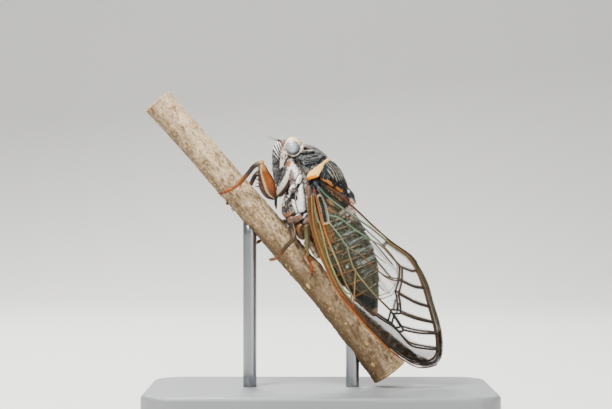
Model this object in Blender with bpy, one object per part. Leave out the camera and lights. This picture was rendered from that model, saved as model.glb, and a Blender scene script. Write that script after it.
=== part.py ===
"""A large Mediterranean cicada at rest, head up, on a cut length of branch held by a plain display stand.

Sizes are in millimetres and become metres where a mesh is made. The insect and its branch are drawn in
the insect's own axes: u runs from the middle of the eyes to the tail, v up out of its back, and w out to
its left. The stand is drawn in the world's axes, with Z up, the floor at 0 and the insect's left at -Y.
"""

import bisect
import math

import bmesh
import bpy
from mathutils import Matrix, Vector
from mathutils.geometry import delaunay_2d_cdt

MM = 0.001
WELD = 0.0005
GAP = 0.3

# Place of the eyes in the world, and how far the body leans from level.
EYES_X = -5.19
EYES_Z = 47.96
BODY_LEAN = 57.9

# Body forms: (u, top, bottom, level of the widest part, half width).
THORAX = [
    (1.7, -0.6, -2.2, -1.3, 3.0),
    (2.6, 0.9, -3.4, -1.4, 4.2),
    (4.2, 2.4, -4.4, -1.5, 4.9),
    (6.0, 3.6, -5.3, -1.6, 5.2),
    (7.6, 4.0, -6.7, -1.7, 5.2),
    (9.2, 4.2, -7.7, -1.8, 5.15),
    (11.0, 4.3, -7.8, -1.8, 5.05),
    (12.6, 4.1, -7.3, -1.7, 4.95),
    (13.6, 3.9, -6.5, -1.5, 4.85),
    (14.4, 3.7, -5.7, -1.3, 4.7),
]
PRONOTUM = [
    (0.7, 2.2, -0.7, 0.2, 4.9),
    (1.7, 3.2, -0.85, 0.1, 5.3),
    (3.0, 4.1, -0.9, 0.1, 5.6),
    (4.3, 4.6, -0.95, 0.0, 5.8),
    (4.6, 4.55, -0.95, 0.0, 5.75),
    (4.9, 4.85, -1.0, 0.0, 6.1),
    (5.5, 4.95, -1.0, 0.0, 6.5),
    (6.0, 4.8, -0.9, 0.0, 6.4),
]
PRONOTUM_SLANT = -0.22
MESONOTUM = [
    (5.2, 4.6, 2.2, 2.6, 4.6),
    (6.0, 5.25, 1.7, 2.1, 5.3),
    (7.2, 5.55, 1.4, 1.8, 5.6),
    (8.6, 5.6, 1.8, 2.1, 5.3),
    (10.0, 5.4, 2.5, 2.8, 4.5),
    (11.2, 5.15, 3.0, 3.3, 3.5),
    (12.0, 4.9, 3.3, 3.6, 2.6),
]
ABDOMEN = [
    (13.3, 3.4, -5.2, -1.2, 4.4),
    (15.0, 3.6, -5.9, -1.5, 4.7),
    (17.0, 3.6, -6.2, -1.7, 4.8),
    (20.0, 3.4, -6.4, -1.8, 4.8),
    (22.0, 3.1, -6.2, -1.9, 4.7),
    (24.0, 2.8, -5.9, -1.8, 4.6),
    (26.0, 2.2, -5.5, -1.9, 4.25),
    (28.0, 1.3, -5.1, -2.1, 3.7),
    (30.0, 0.1, -4.75, -2.4, 2.95),
    (31.6, -1.0, -4.55, -2.8, 2.3),
    (33.0, -2.0, -4.1, -3.05, 1.5),
    (34.2, -2.95, -3.65, -3.3, 0.5),
]
SEGMENT_ENDS = [15.2, 16.9, 18.9, 21.0, 23.0, 25.0, 27.2, 29.3, 31.6]
SEGMENT_STEP = 0.14

# The head across its width: (w, middle u, middle v, half length, half height).
HEAD_ACROSS = [
    (0.0, -0.2, 0.35, 1.95, 1.75),
    (1.6, -0.15, 0.3, 1.9, 1.65),
    (3.0, 0.0, 0.25, 1.75, 1.45),
    (4.2, 0.1, 0.2, 1.45, 1.25),
    (4.9, 0.15, 0.15, 1.15, 1.05),
]
# The face below it: (front u, front v, rear u, rear v, half width).
FACE = [
    (-1.5, -0.3, 1.3, 0.2, 3.2),
    (-1.5, -1.4, 1.6, -0.9, 3.3),
    (-1.0, -2.2, 2.4, -1.3, 3.2),
    (0.1, -3.1, 3.4, -1.9, 2.9),
    (1.6, -4.1, 4.4, -2.8, 2.4),
    (3.0, -5.1, 5.1, -4.1, 1.8),
    (4.1, -6.0, 5.6, -5.4, 1.15),
    (4.9, -6.7, 5.85, -6.4, 0.7),
    (5.4, -7.05, 5.85, -6.9, 0.4),
]
NOSE = [
    (-1.7, -0.5, 0.3, -0.3, 1.1),
    (-2.45, -1.2, 0.2, -0.6, 1.75),
    (-2.5, -2.1, 0.5, -1.0, 2.15),
    (-1.8, -3.1, 1.2, -1.6, 2.3),
    (-0.5, -4.0, 2.2, -2.6, 2.15),
    (1.0, -4.95, 3.0, -3.8, 1.8),
    (2.5, -5.6, 3.8, -4.8, 1.3),
    (3.7, -6.05, 4.4, -5.6, 0.8),
]
NOSE_RIDGES = 8
NOSE_RIDGE_HEIGHT = 0.12
RIDGE_FADE = 0.7

EYE = (0.0, 0.15, 4.75)
EYE_SIZE = (1.15, 1.15, 1.35)
LEDGE = (-1.5, -0.45, 2.9)
LEDGE_SIZE = (0.85, 0.6, 0.9)
OCELLI = [(-0.75, 1.85, 0.0), (-0.1, 2.05, 0.75), (-0.1, 2.05, -0.75)]
OCELLUS_RADIUS = 0.3
# Feeler and beak: (point, radius) from root to tip.
ANTENNA = [
    ((-1.5, -0.5, 3.1), 0.4),
    ((-2.4, -1.05, 3.5), 0.32),
    ((-3.0, -1.5, 4.0), 0.25),
    ((-3.8, -2.3, 4.7), 0.15),
]
ROSTRUM = [
    ((4.9, -6.3, 0.0), 0.45),
    ((5.9, -7.2, 0.0), 0.45),
    ((6.9, -7.9, 0.0), 0.38),
    ((7.8, -8.35, 0.0), 0.26),
]

# The cross-shaped crest behind the mesonotum: its middle and its four arms.
CREST_MIDDLE = (12.9, 4.45, 0.0)
CREST_SIZE = (1.5, 0.95, 1.25)
CREST_ARMS = [((11.7, 4.6, 1.7), 0.5), ((14.2, 4.2, 1.6), 0.5)]
CREST_TAIL = ((14.8, 4.45, 0.0), 0.42)

# The pale plates under the front of the abdomen, each about a line at PLATE_W:
# (u, top, bottom, level, half width).
PLATE = [
    (14.6, -6.1, -6.5, -6.3, 1.0),
    (15.6, -6.0, -6.85, -6.4, 1.7),
    (17.2, -6.0, -7.05, -6.5, 1.9),
    (18.8, -6.1, -7.05, -6.6, 1.6),
    (19.7, -6.3, -6.8, -6.55, 0.7),
]
PLATE_W = 2.3

# Wing outlines seen from the side, from the hinge to the tip: (u, v).
FORE_EDGE = [
    (7.0, -0.9), (10.0, -2.2), (12.0, -3.6), (15.0, -4.9), (20.0, -6.1), (25.0, -6.8), (28.0, -6.75),
    (31.0, -6.3), (35.0, -5.7), (40.0, -4.6), (44.0, -3.1), (46.2, -1.8), (47.3, -0.2), (47.8, 1.5),
]
FORE_BACK = [
    (7.0, 1.0), (9.0, 1.7), (11.0, 2.6), (14.0, 3.6), (16.5, 4.3), (20.0, 5.2), (24.0, 6.4), (28.0, 8.1),
    (30.0, 8.45), (34.0, 8.2), (38.0, 7.1), (42.0, 6.0), (44.0, 5.2), (46.0, 4.0), (47.2, 2.9), (47.8, 1.5),
]
HIND_EDGE = [
    (9.6, -0.6), (12.0, -1.9), (15.0, -3.4), (20.0, -4.6), (25.0, -4.5), (29.0, -3.2), (31.6, -1.2),
    (32.4, 1.2),
]
HIND_BACK = [
    (9.6, 0.6), (12.0, 1.6), (16.0, 2.7), (20.0, 3.7), (24.0, 4.8), (28.0, 5.2), (31.0, 3.8), (32.4, 1.2),
]

# How far out of the middle plane the wings lie: (u, w) along their back edge and their outer edge.
BACK_OUT = [
    (7.0, 3.8), (8.2, 4.6), (9.4, 5.05), (10.5, 5.0), (12.0, 4.6), (15.0, 3.7), (18.0, 3.0), (22.0, 2.1),
    (26.0, 1.35), (30.0, 0.85), (40.0, 0.85), (47.8, 1.6),
]
EDGE_OUT = [
    (7.0, 4.2), (8.2, 5.3), (9.4, 6.2), (12.0, 7.0), (15.0, 7.6), (20.0, 8.1), (25.0, 8.0), (30.0, 7.3),
    (36.0, 6.0), (42.0, 4.3), (47.8, 2.2),
]
ROOF_POWER = 2.4
HIND_SINK = [(9.6, 1.5), (12.0, 0.0)]
WING_SPACING = 1.08
MEMBRANE = 0.5

# Main veins of the forewing, each along a few (u, v) points.
FORE_VEINS = {
    "edge_vein": [
        (9.0, -1.2), (12.0, -3.1), (15.0, -4.4), (20.0, -5.6), (25.0, -6.3), (29.0, -6.2),
        (35.0, -5.2), (40.0, -4.1), (44.0, -2.6), (46.2, -0.6),
    ],
    "green_edge": [
        (8.5, -0.6), (12.0, -2.5), (15.0, -3.2), (20.0, -4.8), (25.0, -5.7), (28.0, -5.7),
        (29.2, -5.0),
    ],
    "margin": [
        (46.2, -0.6), (46.9, 0.8), (46.7, 2.2), (45.6, 3.2), (43.0, 4.5), (38.2, 6.0), (34.7, 7.0),
        (31.3, 7.6), (28.5, 7.6), (26.0, 6.8), (24.0, 5.9), (20.0, 4.65), (16.0, 3.0), (12.0, 1.3),
        (8.5, 0.5),
    ],
    "cell_top": [(9.0, 0.2), (12.0, -0.25), (15.1, -1.45)],
    "cell_end": [(15.1, -1.45), (14.8, -2.6)],
    "cell_low": [
        (9.0, -0.5), (12.0, -1.75), (14.8, -2.6), (18.0, -3.35), (22.0, -4.0), (26.0, -4.75),
        (29.2, -5.0),
    ],
    "middle": [
        (15.1, -1.45), (18.0, -1.1), (20.4, -1.0), (23.0, 0.3), (26.0, 1.1), (29.3, 2.2), (31.2, 4.1),
    ],
    "middle_low": [(20.4, -1.0), (22.5, -1.65), (25.0, -2.05), (30.0, -1.5), (35.5, -0.3)],
    "cross_low": [(25.0, -2.05), (28.0, -4.2), (30.3, -5.9)],
    "back_cell": [
        (13.8, -0.9), (15.5, 0.6), (19.0, 2.0), (22.3, 3.6), (24.2, 4.6), (26.5, 5.0), (29.2, 5.5),
    ],
    "back_cross": [(24.2, 4.6), (23.9, 5.8)],
    "hook": [(29.2, -5.0), (31.0, -4.3), (34.5, -2.9), (37.0, -1.75), (38.6, -1.3)],
    "steps": [
        (29.2, 5.5), (31.2, 4.1), (32.8, 2.4), (34.0, 1.9), (35.9, 0.8), (35.5, -0.3), (38.8, -0.4),
        (38.6, -1.3),
    ],
    "step_low": [(35.5, -0.3), (36.9, -1.8)],
    "rib_a": [(29.2, 5.5), (30.8, 6.7), (31.3, 7.6)],
    "rib_b": [(31.2, 4.1), (33.5, 5.6), (34.7, 7.0)],
    "rib_c": [(32.8, 2.4), (36.0, 4.2), (38.2, 6.0)],
    "rib_d": [(35.9, 0.8), (38.5, 2.7), (41.1, 5.15)],
    "rib_e": [(38.8, -0.4), (41.0, 1.8), (43.0, 4.5)],
    "rib_f": [(38.6, -1.3), (42.0, -0.7), (44.2, 1.4), (45.6, 3.2)],
}
# Ribs of the folded hindwing, which fan out from its root.
HIND_VEINS = {
    "low": [(12.0, -1.0), (16.0, -2.6), (22.0, -3.6), (28.0, -2.8)],
    "middle": [(12.0, -0.3), (20.0, -0.6), (26.0, -0.3), (31.0, 0.4)],
    "high": [(12.0, 0.4), (19.0, 1.4), (25.0, 2.2), (30.0, 2.9)],
    "back": [(12.5, 1.0), (18.0, 2.5), (23.0, 3.7), (28.0, 4.4)],
}

# The veins stand up as ridges. The membrane's triangles follow them, its outline and an even grid.
RIDGE_HEIGHT = 0.28
HIND_RIDGE_HEIGHT = 0.16
RIDGE_HALF_WIDTH = 0.28
VEIN_STEP = 2.3
EDGE_STEP = 1.7
CELL_STEP = 3.2
RIDGE_TO_EDGE = 0.2
CELL_TO_LINE = 1.1
MERGE_WITHIN = 0.06

BRANCH_LINE = [
    (-20.6, -16.4), (-9.4, -14.4), (-0.7, -13.15), (8.1, -11.6), (16.8, -10.35), (25.7, -9.0), (34.5, -7.9),
    (44.6, -6.65),
]
BRANCH_RADIUS = [(-20.6, 2.85), (10.0, 2.8), (28.0, 2.8), (36.0, 3.1), (44.6, 3.4)]
BRANCH_SIDES = 14
BRANCH_RINGS = 26
# Low knobs on it: (u, angle round it, height).
KNOBS = [
    (-14.0, 0.6, 0.35), (-3.0, 2.4, 0.3), (6.5, 5.2, 0.25), (21.0, 1.2, 0.3), (29.0, 4.1, 0.35),
    (37.5, 2.0, 0.4),
]
KNOB_LENGTH = 1.6
KNOB_SPREAD = 0.6

BASE_SIZE = (64.0, 36.0, 4.0)
BASE_CORNER = 6.0
BASE_EDGE = 0.8
ROD_RADIUS = 1.25
LONG_ROD_X = -13.0
SHORT_ROD_X = 6.0

LEGS = {
    "foreleg_left": {
        "coxa": [((3.6, -2.4, 3.0), 0.75), ((5.0, -4.6, 3.3), 0.9), ((5.9, -6.9, 3.3), 0.65)],
        "femur": [((6.0, -7.4, 3.3), 0.6), ((4.6, -7.5, 3.5), 1.15), ((3.0, -7.1, 3.6), 1.3),
                  ((1.0, -6.7, 3.8), 0.95), ((-0.6, -6.2, 3.9), 0.6)],
        "tibia": [((-0.75, -6.1, 3.9), 0.55), ((-0.9, -7.5, 3.9), 0.45), ((-0.3, -9.4, 3.8), 0.42),
                  ((0.45, -11.8, 3.75), 0.42)],
        "tarsus": [((0.45, -11.8, 3.75), 0.36), ((0.4, -13.2, 3.65), 0.34), ((0.15, -14.9, 3.45), 0.3)],
        "claws": [((-0.2, -15.9, 2.8), (0.5, -15.9, 2.7))],
        "spines": [((2.4, -8.0, 3.6), (1.9, -9.0, 3.6)), ((1.1, -7.3, 3.8), (0.5, -8.1, 3.8))],
    },
    "foreleg_right": {
        "coxa": [((3.6, -2.4, -3.0), 0.75), ((5.0, -4.6, -3.3), 0.9), ((6.0, -6.9, -3.3), 0.65)],
        "femur": [((6.1, -7.4, -3.3), 0.6), ((4.7, -7.9, -3.6), 1.1), ((3.2, -7.9, -3.9), 1.2),
                  ((1.6, -7.5, -4.1), 0.9), ((0.3, -7.1, -4.3), 0.6)],
        "tibia": [((0.2, -7.0, -4.3), 0.55), ((0.4, -8.4, -4.3), 0.45), ((1.3, -10.0, -4.2), 0.42),
                  ((2.2, -11.8, -4.0), 0.42)],
        "tarsus": [((2.2, -11.8, -4.0), 0.36), ((2.8, -13.4, -3.9), 0.34), ((3.3, -14.7, -3.4), 0.3)],
        "claws": [((3.3, -15.7, -2.5), (4.0, -15.6, -2.5))],
        "spines": [((2.6, -8.7, -3.9), (2.1, -9.6, -3.9)), ((1.5, -8.1, -4.1), (0.9, -8.8, -4.1))],
    },
    "midleg_left": {
        "coxa": [((10.6, -6.2, 2.4), 1.0), ((11.8, -7.6, 2.9), 0.85)],
        "femur": [((11.7, -7.5, 2.8), 0.65), ((12.9, -7.9, 4.6), 0.85), ((14.1, -8.4, 6.2), 0.5)],
        "tibia": [((14.1, -8.4, 6.2), 0.48), ((14.6, -10.2, 5.4), 0.4), ((15.3, -12.4, 4.1), 0.4)],
        "tarsus": [((15.3, -12.4, 4.1), 0.34), ((15.5, -13.2, 3.7), 0.32), ((15.2, -14.0, 2.7), 0.3)],
        "claws": [((14.8, -14.5, 1.5), (15.6, -14.5, 1.5))],
        "spines": [],
    },
    "midleg_right": {
        "coxa": [((10.4, -6.2, -2.4), 1.0), ((11.4, -7.6, -2.9), 0.85)],
        "femur": [((11.3, -7.5, -2.8), 0.65), ((10.9, -8.3, -4.4), 0.85), ((10.5, -9.0, -6.0), 0.5)],
        "tibia": [((10.5, -9.0, -6.0), 0.48), ((10.8, -10.8, -5.3), 0.4), ((11.2, -12.9, -4.1), 0.4)],
        "tarsus": [((11.2, -12.9, -4.1), 0.34), ((11.3, -13.8, -3.5), 0.32), ((11.2, -14.6, -2.4), 0.3)],
        "claws": [((10.9, -14.9, -1.2), (11.6, -14.9, -1.2))],
        "spines": [],
    },
    "hindleg_left": {
        "coxa": [((12.6, -5.6, 2.4), 1.0), ((13.6, -6.6, 3.0), 0.8)],
        "femur": [((13.5, -6.5, 2.9), 0.6), ((13.6, -5.9, 4.4), 0.8), ((13.6, -5.3, 5.8), 0.5)],
        "tibia": [((13.6, -5.3, 5.8), 0.48), ((15.8, -6.7, 5.2), 0.42), ((18.2, -8.1, 3.9), 0.42)],
        "tarsus": [((18.2, -8.1, 3.9), 0.34), ((20.0, -8.35, 3.7), 0.32), ((21.2, -8.9, 3.75), 0.3)],
        "claws": [((22.1, -9.2, 3.9), (21.9, -9.9, 3.85))],
        "spines": [((15.4, -6.6, 5.3), (16.2, -7.6, 5.5)), ((17.0, -7.5, 4.6), (17.8, -8.4, 4.9))],
    },
    "hindleg_right": {
        "coxa": [((12.6, -5.6, -2.4), 1.0), ((13.4, -6.9, -2.9), 0.8)],
        "femur": [((13.3, -6.8, -2.8), 0.6), ((12.8, -7.7, -4.2), 0.8), ((12.3, -8.5, -5.6), 0.5)],
        "tibia": [((12.3, -8.5, -5.6), 0.48), ((14.8, -8.4, -5.0), 0.42), ((17.3, -8.2, -3.9), 0.42)],
        "tarsus": [((17.3, -8.2, -3.9), 0.34), ((18.8, -9.0, -3.9), 0.32), ((20.1, -9.9, -3.8), 0.3)],
        "claws": [((20.9, -10.6, -3.75), (20.6, -11.0, -3.65))],
        "spines": [((14.2, -8.5, -5.1), (14.9, -9.4, -5.4)), ((16.0, -8.4, -4.5), (16.8, -9.3, -4.9))],
    },
}


# Smooth lines and the insect's axes

def smooth(table, x):
    """Value at x on the smooth line through a table of (x, value) pairs."""
    places = [row[0] for row in table]
    if x <= places[0]:
        return table[0][1]
    if x >= places[-1]:
        return table[-1][1]
    low = bisect.bisect_right(places, x) - 1
    span = places[low + 1] - places[low]
    t = (x - places[low]) / span

    def slope(i):
        before = table[max(i - 1, 0)]
        after = table[min(i + 1, len(table) - 1)]
        return (after[1] - before[1]) / (after[0] - before[0])

    start, end = table[low][1], table[low + 1][1]
    return (
        start * (1 + 2 * t) * (1 - t) ** 2
        + slope(low) * span * t * (1 - t) ** 2
        + end * t * t * (3 - 2 * t)
        + slope(low + 1) * span * t * t * (t - 1)
    )


def station_at(stations, u):
    """Top, bottom, level and half width of a body form at u."""
    return [smooth([(row[0], row[column]) for row in stations], u) for column in range(1, 5)]


def body_axes():
    """The empty that carries everything drawn in the insect's axes."""
    lean = math.radians(BODY_LEAN)
    along = Vector((math.cos(lean), 0, -math.sin(lean)))
    back = Vector((math.sin(lean), 0, math.cos(lean)))
    out = along.cross(back)
    empty = bpy.data.objects.new("insect_axes", None)
    turn = Matrix((along, back, out)).transposed().to_4x4()
    empty.matrix_world = Matrix.Translation((EYES_X * MM, 0, EYES_Z * MM)) @ turn
    bpy.context.scene.collection.objects.link(empty)
    return empty


# Making, joining and cutting meshes

def link_mesh(name, bm):
    """A new mesh object from a bmesh in millimetres, with its faces turned out."""
    bmesh.ops.recalc_face_normals(bm, faces=bm.faces)
    bmesh.ops.scale(bm, vec=(MM, MM, MM), verts=bm.verts)
    mesh = bpy.data.meshes.new(name)
    bm.to_mesh(mesh)
    bm.free()
    obj = bpy.data.objects.new(name, mesh)
    PARTS.objects.link(obj)
    return obj


def loft(name, rings):
    """A closed skin through rings of equal point counts, with flat ends."""
    bm = bmesh.new()
    rows = [[bm.verts.new(point) for point in ring] for ring in rings]
    count = len(rings[0])
    for before, after in zip(rows, rows[1:]):
        for i in range(count):
            j = (i + 1) % count
            bm.faces.new((before[i], before[j], after[j], after[i]))
    bm.faces.new(rows[0])
    bm.faces.new(rows[-1])
    return link_mesh(name, bm)


def ellipsoid(name, middle, size, segments=16, rings=10, grow=0.0):
    bm = bmesh.new()
    bmesh.ops.create_uvsphere(bm, u_segments=segments, v_segments=rings, radius=1.0)
    bmesh.ops.scale(bm, vec=[half + grow for half in size], verts=bm.verts)
    bmesh.ops.translate(bm, vec=middle, verts=bm.verts)
    return link_mesh(name, bm)


def limb(name, stops, resolution=2, grow=0.0):
    """A tapering round limb through (point, radius) stops, as a welded mesh."""
    curve = bpy.data.curves.new(name, "CURVE")
    curve.dimensions = "3D"
    curve.bevel_depth = MM
    curve.bevel_resolution = resolution
    curve.use_fill_caps = True
    line = curve.splines.new("POLY")
    line.points.add(len(stops) - 1)
    for point, (place, radius) in zip(line.points, stops):
        point.co = (*(MM * value for value in place), 1)
        point.radius = radius + grow
    holder = bpy.data.objects.new(name, curve)
    PARTS.objects.link(holder)
    graph = bpy.context.evaluated_depsgraph_get()
    mesh = bpy.data.meshes.new_from_object(holder.evaluated_get(graph))
    bpy.data.objects.remove(holder)
    bm = bmesh.new()
    bm.from_mesh(mesh)
    bpy.data.meshes.remove(mesh)
    bmesh.ops.remove_doubles(bm, verts=bm.verts, dist=1e-6)
    bmesh.ops.scale(bm, vec=(1 / MM, 1 / MM, 1 / MM), verts=bm.verts)
    return link_mesh(name, bm)


def body_form(name, stations, places, sides=20, slant=0.0, middle_w=0.0, grow=0.0, swell=None):
    """A loft along u of rounded sections read from a form's stations."""
    rings = []
    for index, u in enumerate(places):
        top, bottom, level, half = station_at(stations, u)
        extra = grow + (swell(u) if swell else 0.0)
        end = -grow if index == 0 else grow if index == len(places) - 1 else 0.0
        ring = []
        for side in range(sides):
            angle = 2 * math.pi * (side + 0.5) / sides
            rise = (top - level + extra) if math.sin(angle) > 0 else (level - bottom + extra)
            v = level + rise * math.sin(angle)
            ring.append((u + end + slant * (v - level), v, middle_w + (half + extra) * math.cos(angle)))
        rings.append(ring)
    return loft(name, rings)


def apply_modifiers(obj):
    """Replaces an object's mesh with what its modifiers make of it."""
    bpy.context.view_layer.update()
    graph = bpy.context.evaluated_depsgraph_get()
    made = bpy.data.meshes.new_from_object(obj.evaluated_get(graph))
    old = obj.data
    obj.modifiers.clear()
    obj.data = made
    bpy.data.meshes.remove(old)


def size_of(verts):
    """The product of a piece's three extents, which tells the largest piece."""
    size = 1.0
    for axis in range(3):
        places = [vert.co[axis] for vert in verts]
        size *= max(places) - min(places)
    return size


def keep_largest(obj):
    """Leaves only the largest closed surface."""
    bm = bmesh.new()
    bm.from_mesh(obj.data)
    bmesh.ops.remove_doubles(bm, verts=bm.verts, dist=WELD * MM)
    left = set(bm.verts)
    pieces = []
    while left:
        stack = [left.pop()]
        piece = set(stack)
        while stack:
            for edge in stack.pop().link_edges:
                for vert in edge.verts:
                    if vert in left:
                        left.remove(vert)
                        piece.add(vert)
                        stack.append(vert)
        pieces.append(piece)
    pieces.sort(key=size_of)
    for piece in pieces[:-1]:
        bmesh.ops.delete(bm, geom=list(piece), context="VERTS")
    bm.to_mesh(obj.data)
    bm.free()


def fuse(name, pieces, solver="EXACT"):
    """One closed body from overlapping pieces, by a Boolean union on their collection."""
    first, rest = pieces[0], pieces[1:]
    group = bpy.data.collections.new(name + "_pieces")
    bpy.context.scene.collection.children.link(group)
    for piece in rest:
        PARTS.objects.unlink(piece)
        group.objects.link(piece)
    union = first.modifiers.new("union", "BOOLEAN")
    union.operation = "UNION"
    union.operand_type = "COLLECTION"
    union.collection = group
    union.solver = solver
    apply_modifiers(first)
    for piece in rest:
        bpy.data.objects.remove(piece)
    bpy.data.collections.remove(group)
    keep_largest(first)
    first.name = name
    return first


def carve(obj, cutters, solver="EXACT"):
    """Cuts each cutter out of an object, removes the cutters and keeps the largest piece."""
    for number, cutter in enumerate(cutters):
        cut = obj.modifiers.new(f"cut_{number}", "BOOLEAN")
        cut.operation = "DIFFERENCE"
        cut.object = cutter
        cut.solver = solver
        cutter.hide_render = True
        cutter.display_type = "WIRE"
        apply_modifiers(obj)
    for cutter in cutters:
        bpy.data.objects.remove(cutter)
    keep_largest(obj)
    return obj


def finish(obj, colour, roughness, parent=None):
    """Gives a node its own material and its place in the insect's axes."""
    material = bpy.data.materials.new(obj.name)
    material.use_nodes = True
    shader = material.node_tree.nodes["Principled BSDF"]
    shader.inputs["Base Color"].default_value = (*colour, 1)
    shader.inputs["Roughness"].default_value = roughness
    obj.data.materials.clear()
    obj.data.materials.append(material)
    obj.data.shade_smooth()
    obj.data.set_sharp_from_angle(angle=math.radians(40))
    obj.parent = parent
    return obj


# Body forms, each of which can be made larger by grow to cut its neighbour

def head_across(grow=0.0):
    rings = []
    sides = 16
    widths = [-row[0] for row in reversed(HEAD_ACROSS[1:])] + [row[0] for row in HEAD_ACROSS]
    for w in widths:
        mid_u, mid_v, half_u, half_v = station_at(HEAD_ACROSS, abs(w))
        end = math.copysign(grow, w) if abs(w) == HEAD_ACROSS[-1][0] else 0.0
        ring = []
        for side in range(sides):
            angle = 2 * math.pi * side / sides
            u = mid_u + (half_u + grow) * math.cos(angle)
            ring.append((u, mid_v + (half_v + grow) * math.sin(angle), w + end))
        rings.append(ring)
    return loft("head_across", rings)


def face_form(name, rows, steps, sides, grow=0.0, ridges=0, ridge_height=0.0):
    """A loft down the face through rows of front point, rear point and half width."""
    tables = [[(index, row[column]) for index, row in enumerate(rows)] for column in range(5)]
    rings = []
    for step in range(steps + 1):
        at = (len(rows) - 1) * step / steps
        front_u, front_v, rear_u, rear_v, half = (smooth(table, at) for table in tables)
        front, rear = Vector((front_u, front_v, 0)), Vector((rear_u, rear_v, 0))
        middle, arm = (front + rear) / 2, (front - rear) / 2
        ripple = math.cos(2 * math.pi * ridges * step / steps) * (1 - RIDGE_FADE * step / steps)
        extra = grow + ridge_height * ripple
        arm = arm * (1 + extra / arm.length)
        across = Vector((0, 0, half + extra))
        end = -grow if step == 0 else grow if step == steps else 0.0
        down = Vector((-arm.y, arm.x, 0)).normalized() * end
        ring = []
        for side in range(sides):
            angle = 2 * math.pi * side / sides
            ring.append(middle + down + arm * math.cos(angle) + across * math.sin(angle))
        rings.append(ring)
    return loft(name, rings)


def eye(side, grow=0.0):
    u, v, w = EYE
    return ellipsoid("eye", (u, v, side * w), EYE_SIZE, 16, 9, grow)


def ledges(grow=0.0):
    """The two brows over the feet of the feelers."""
    (u, v, w), size = LEDGE, LEDGE_SIZE
    return [ellipsoid("ledge", (u, v, side * w), size, 10, 6, grow) for side in (1, -1)]


def skull_cutters(grow):
    return [head_across(grow), face_form("face", FACE, 12, 14, grow)]


def head_cutters(grow):
    return skull_cutters(grow) + [eye(1, grow), eye(-1, grow)]


def make_head():
    pieces = [
        head_across(),
        face_form("face", FACE, 12, 14),
        face_form("nose", NOSE, 2 * NOSE_RIDGES, 14, ridges=NOSE_RIDGES, ridge_height=NOSE_RIDGE_HEIGHT),
    ]
    pieces += ledges()
    pieces += [ellipsoid("ocellus", place, [OCELLUS_RADIUS] * 3, 8, 6) for place in OCELLI]
    head = fuse("head", pieces)
    return carve(head, [eye(1, GAP), eye(-1, GAP)])


def pronotum_form(grow=0.0):
    return body_form("pronotum", PRONOTUM, [row[0] for row in PRONOTUM], 24, PRONOTUM_SLANT, grow=grow)


def mesonotum_form(grow=0.0):
    return body_form("mesonotum", MESONOTUM, [row[0] for row in MESONOTUM], 22, grow=grow)


def thorax_form(grow=0.0):
    return body_form("thorax", THORAX, [row[0] for row in THORAX], 24, grow=grow)


def crest_pieces(grow=0.0):
    u, v, w = CREST_MIDDLE
    pieces = [ellipsoid("scutellum", CREST_MIDDLE, CREST_SIZE, 16, 10, grow)]
    for (end_u, end_v, end_w), radius in CREST_ARMS:
        for side in (1, -1):
            arm = [((u, v + 0.1, 0.0), radius + 0.15), ((end_u, end_v, side * end_w), radius)]
            pieces.append(limb("arm", arm, 2, grow))
    end, radius = CREST_TAIL
    pieces.append(limb("tail", [((u, v, w), radius + 0.1), (end, radius)], 2, grow))
    return pieces


def abdomen_swell(u):
    """Each segment rises to its hind margin and steps down to the next."""
    edges = [ABDOMEN[0][0]] + SEGMENT_ENDS + [ABDOMEN[-1][0]]
    for start, end in zip(edges, edges[1:]):
        if u <= end:
            return SEGMENT_STEP * ((u - start) / (end - start) - 1)
    return 0.0


def abdomen_form(grow=0.0):
    places = [ABDOMEN[0][0], 14.2]
    for end in SEGMENT_ENDS:
        places += [end, end + 0.12]
    places += [33.0, 33.8, ABDOMEN[-1][0]]
    return body_form("abdomen", ABDOMEN, places, 20, grow=grow, swell=abdomen_swell)


def plate_form(side, grow=0.0):
    return body_form("operculum", PLATE, [row[0] for row in PLATE], 12, middle_w=side * PLATE_W, grow=grow)


# Wings

def forewing_out(u, v):
    """How far out the middle of the left forewing lies at (u, v)."""
    back, edge = smooth(FORE_BACK, u), smooth(FORE_EDGE, u)
    down = min(1.0, max(0.0, (back - v) / max(back - edge, 0.1)))
    bulge = 1 - (1 - down) ** ROOF_POWER
    return smooth(BACK_OUT, u) * (1 - bulge) + smooth(EDGE_OUT, u) * bulge


def slopes(out, u, v, nudge=0.05):
    """How fast a wing's distance out changes along u and along v."""
    along = (out(u + nudge, v) - out(u - nudge, v)) / (2 * nudge)
    return along, (out(u, v + nudge) - out(u, v - nudge)) / (2 * nudge)


def hindwing_out(u, v):
    """The left hindwing lies evenly under the forewing, and sinks into the body at its root."""
    along, up = slopes(forewing_out, u, v)
    return forewing_out(u, v) - WING_SPACING * math.sqrt(1 + along ** 2 + up ** 2) - smooth(HIND_SINK, u)


def even_points(chain, step):
    """Points about a step apart along the smooth line through a chain of (u, v) points."""
    across, up = ([(index, point[axis]) for index, point in enumerate(chain)] for axis in (0, 1))
    parts = 12
    places = [k / parts for k in range(parts * (len(chain) - 1))]
    fine = [Vector((smooth(across, place), smooth(up, place))) for place in places]
    fine.append(Vector(chain[-1]))
    lengths = [0.0]
    for a, b in zip(fine, fine[1:]):
        lengths.append(lengths[-1] + (b - a).length)
    pieces = max(1, round(lengths[-1] / step))
    points = []
    for k in range(pieces + 1):
        goal = lengths[-1] * k / pieces
        i = min(bisect.bisect_right(lengths, goal) - 1, len(fine) - 2)
        t = (goal - lengths[i]) / max(lengths[i + 1] - lengths[i], 1e-9)
        points.append(fine[i].lerp(fine[i + 1], t))
    return points


def inside(polygon, point):
    """Whether a point is inside a polygon."""
    found = False
    for a, b in zip(polygon, polygon[1:] + polygon[:1]):
        if (a.y > point.y) != (b.y > point.y):
            if point.x < a.x + (point.y - a.y) * (b.x - a.x) / (b.y - a.y):
                found = not found
    return found


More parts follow.
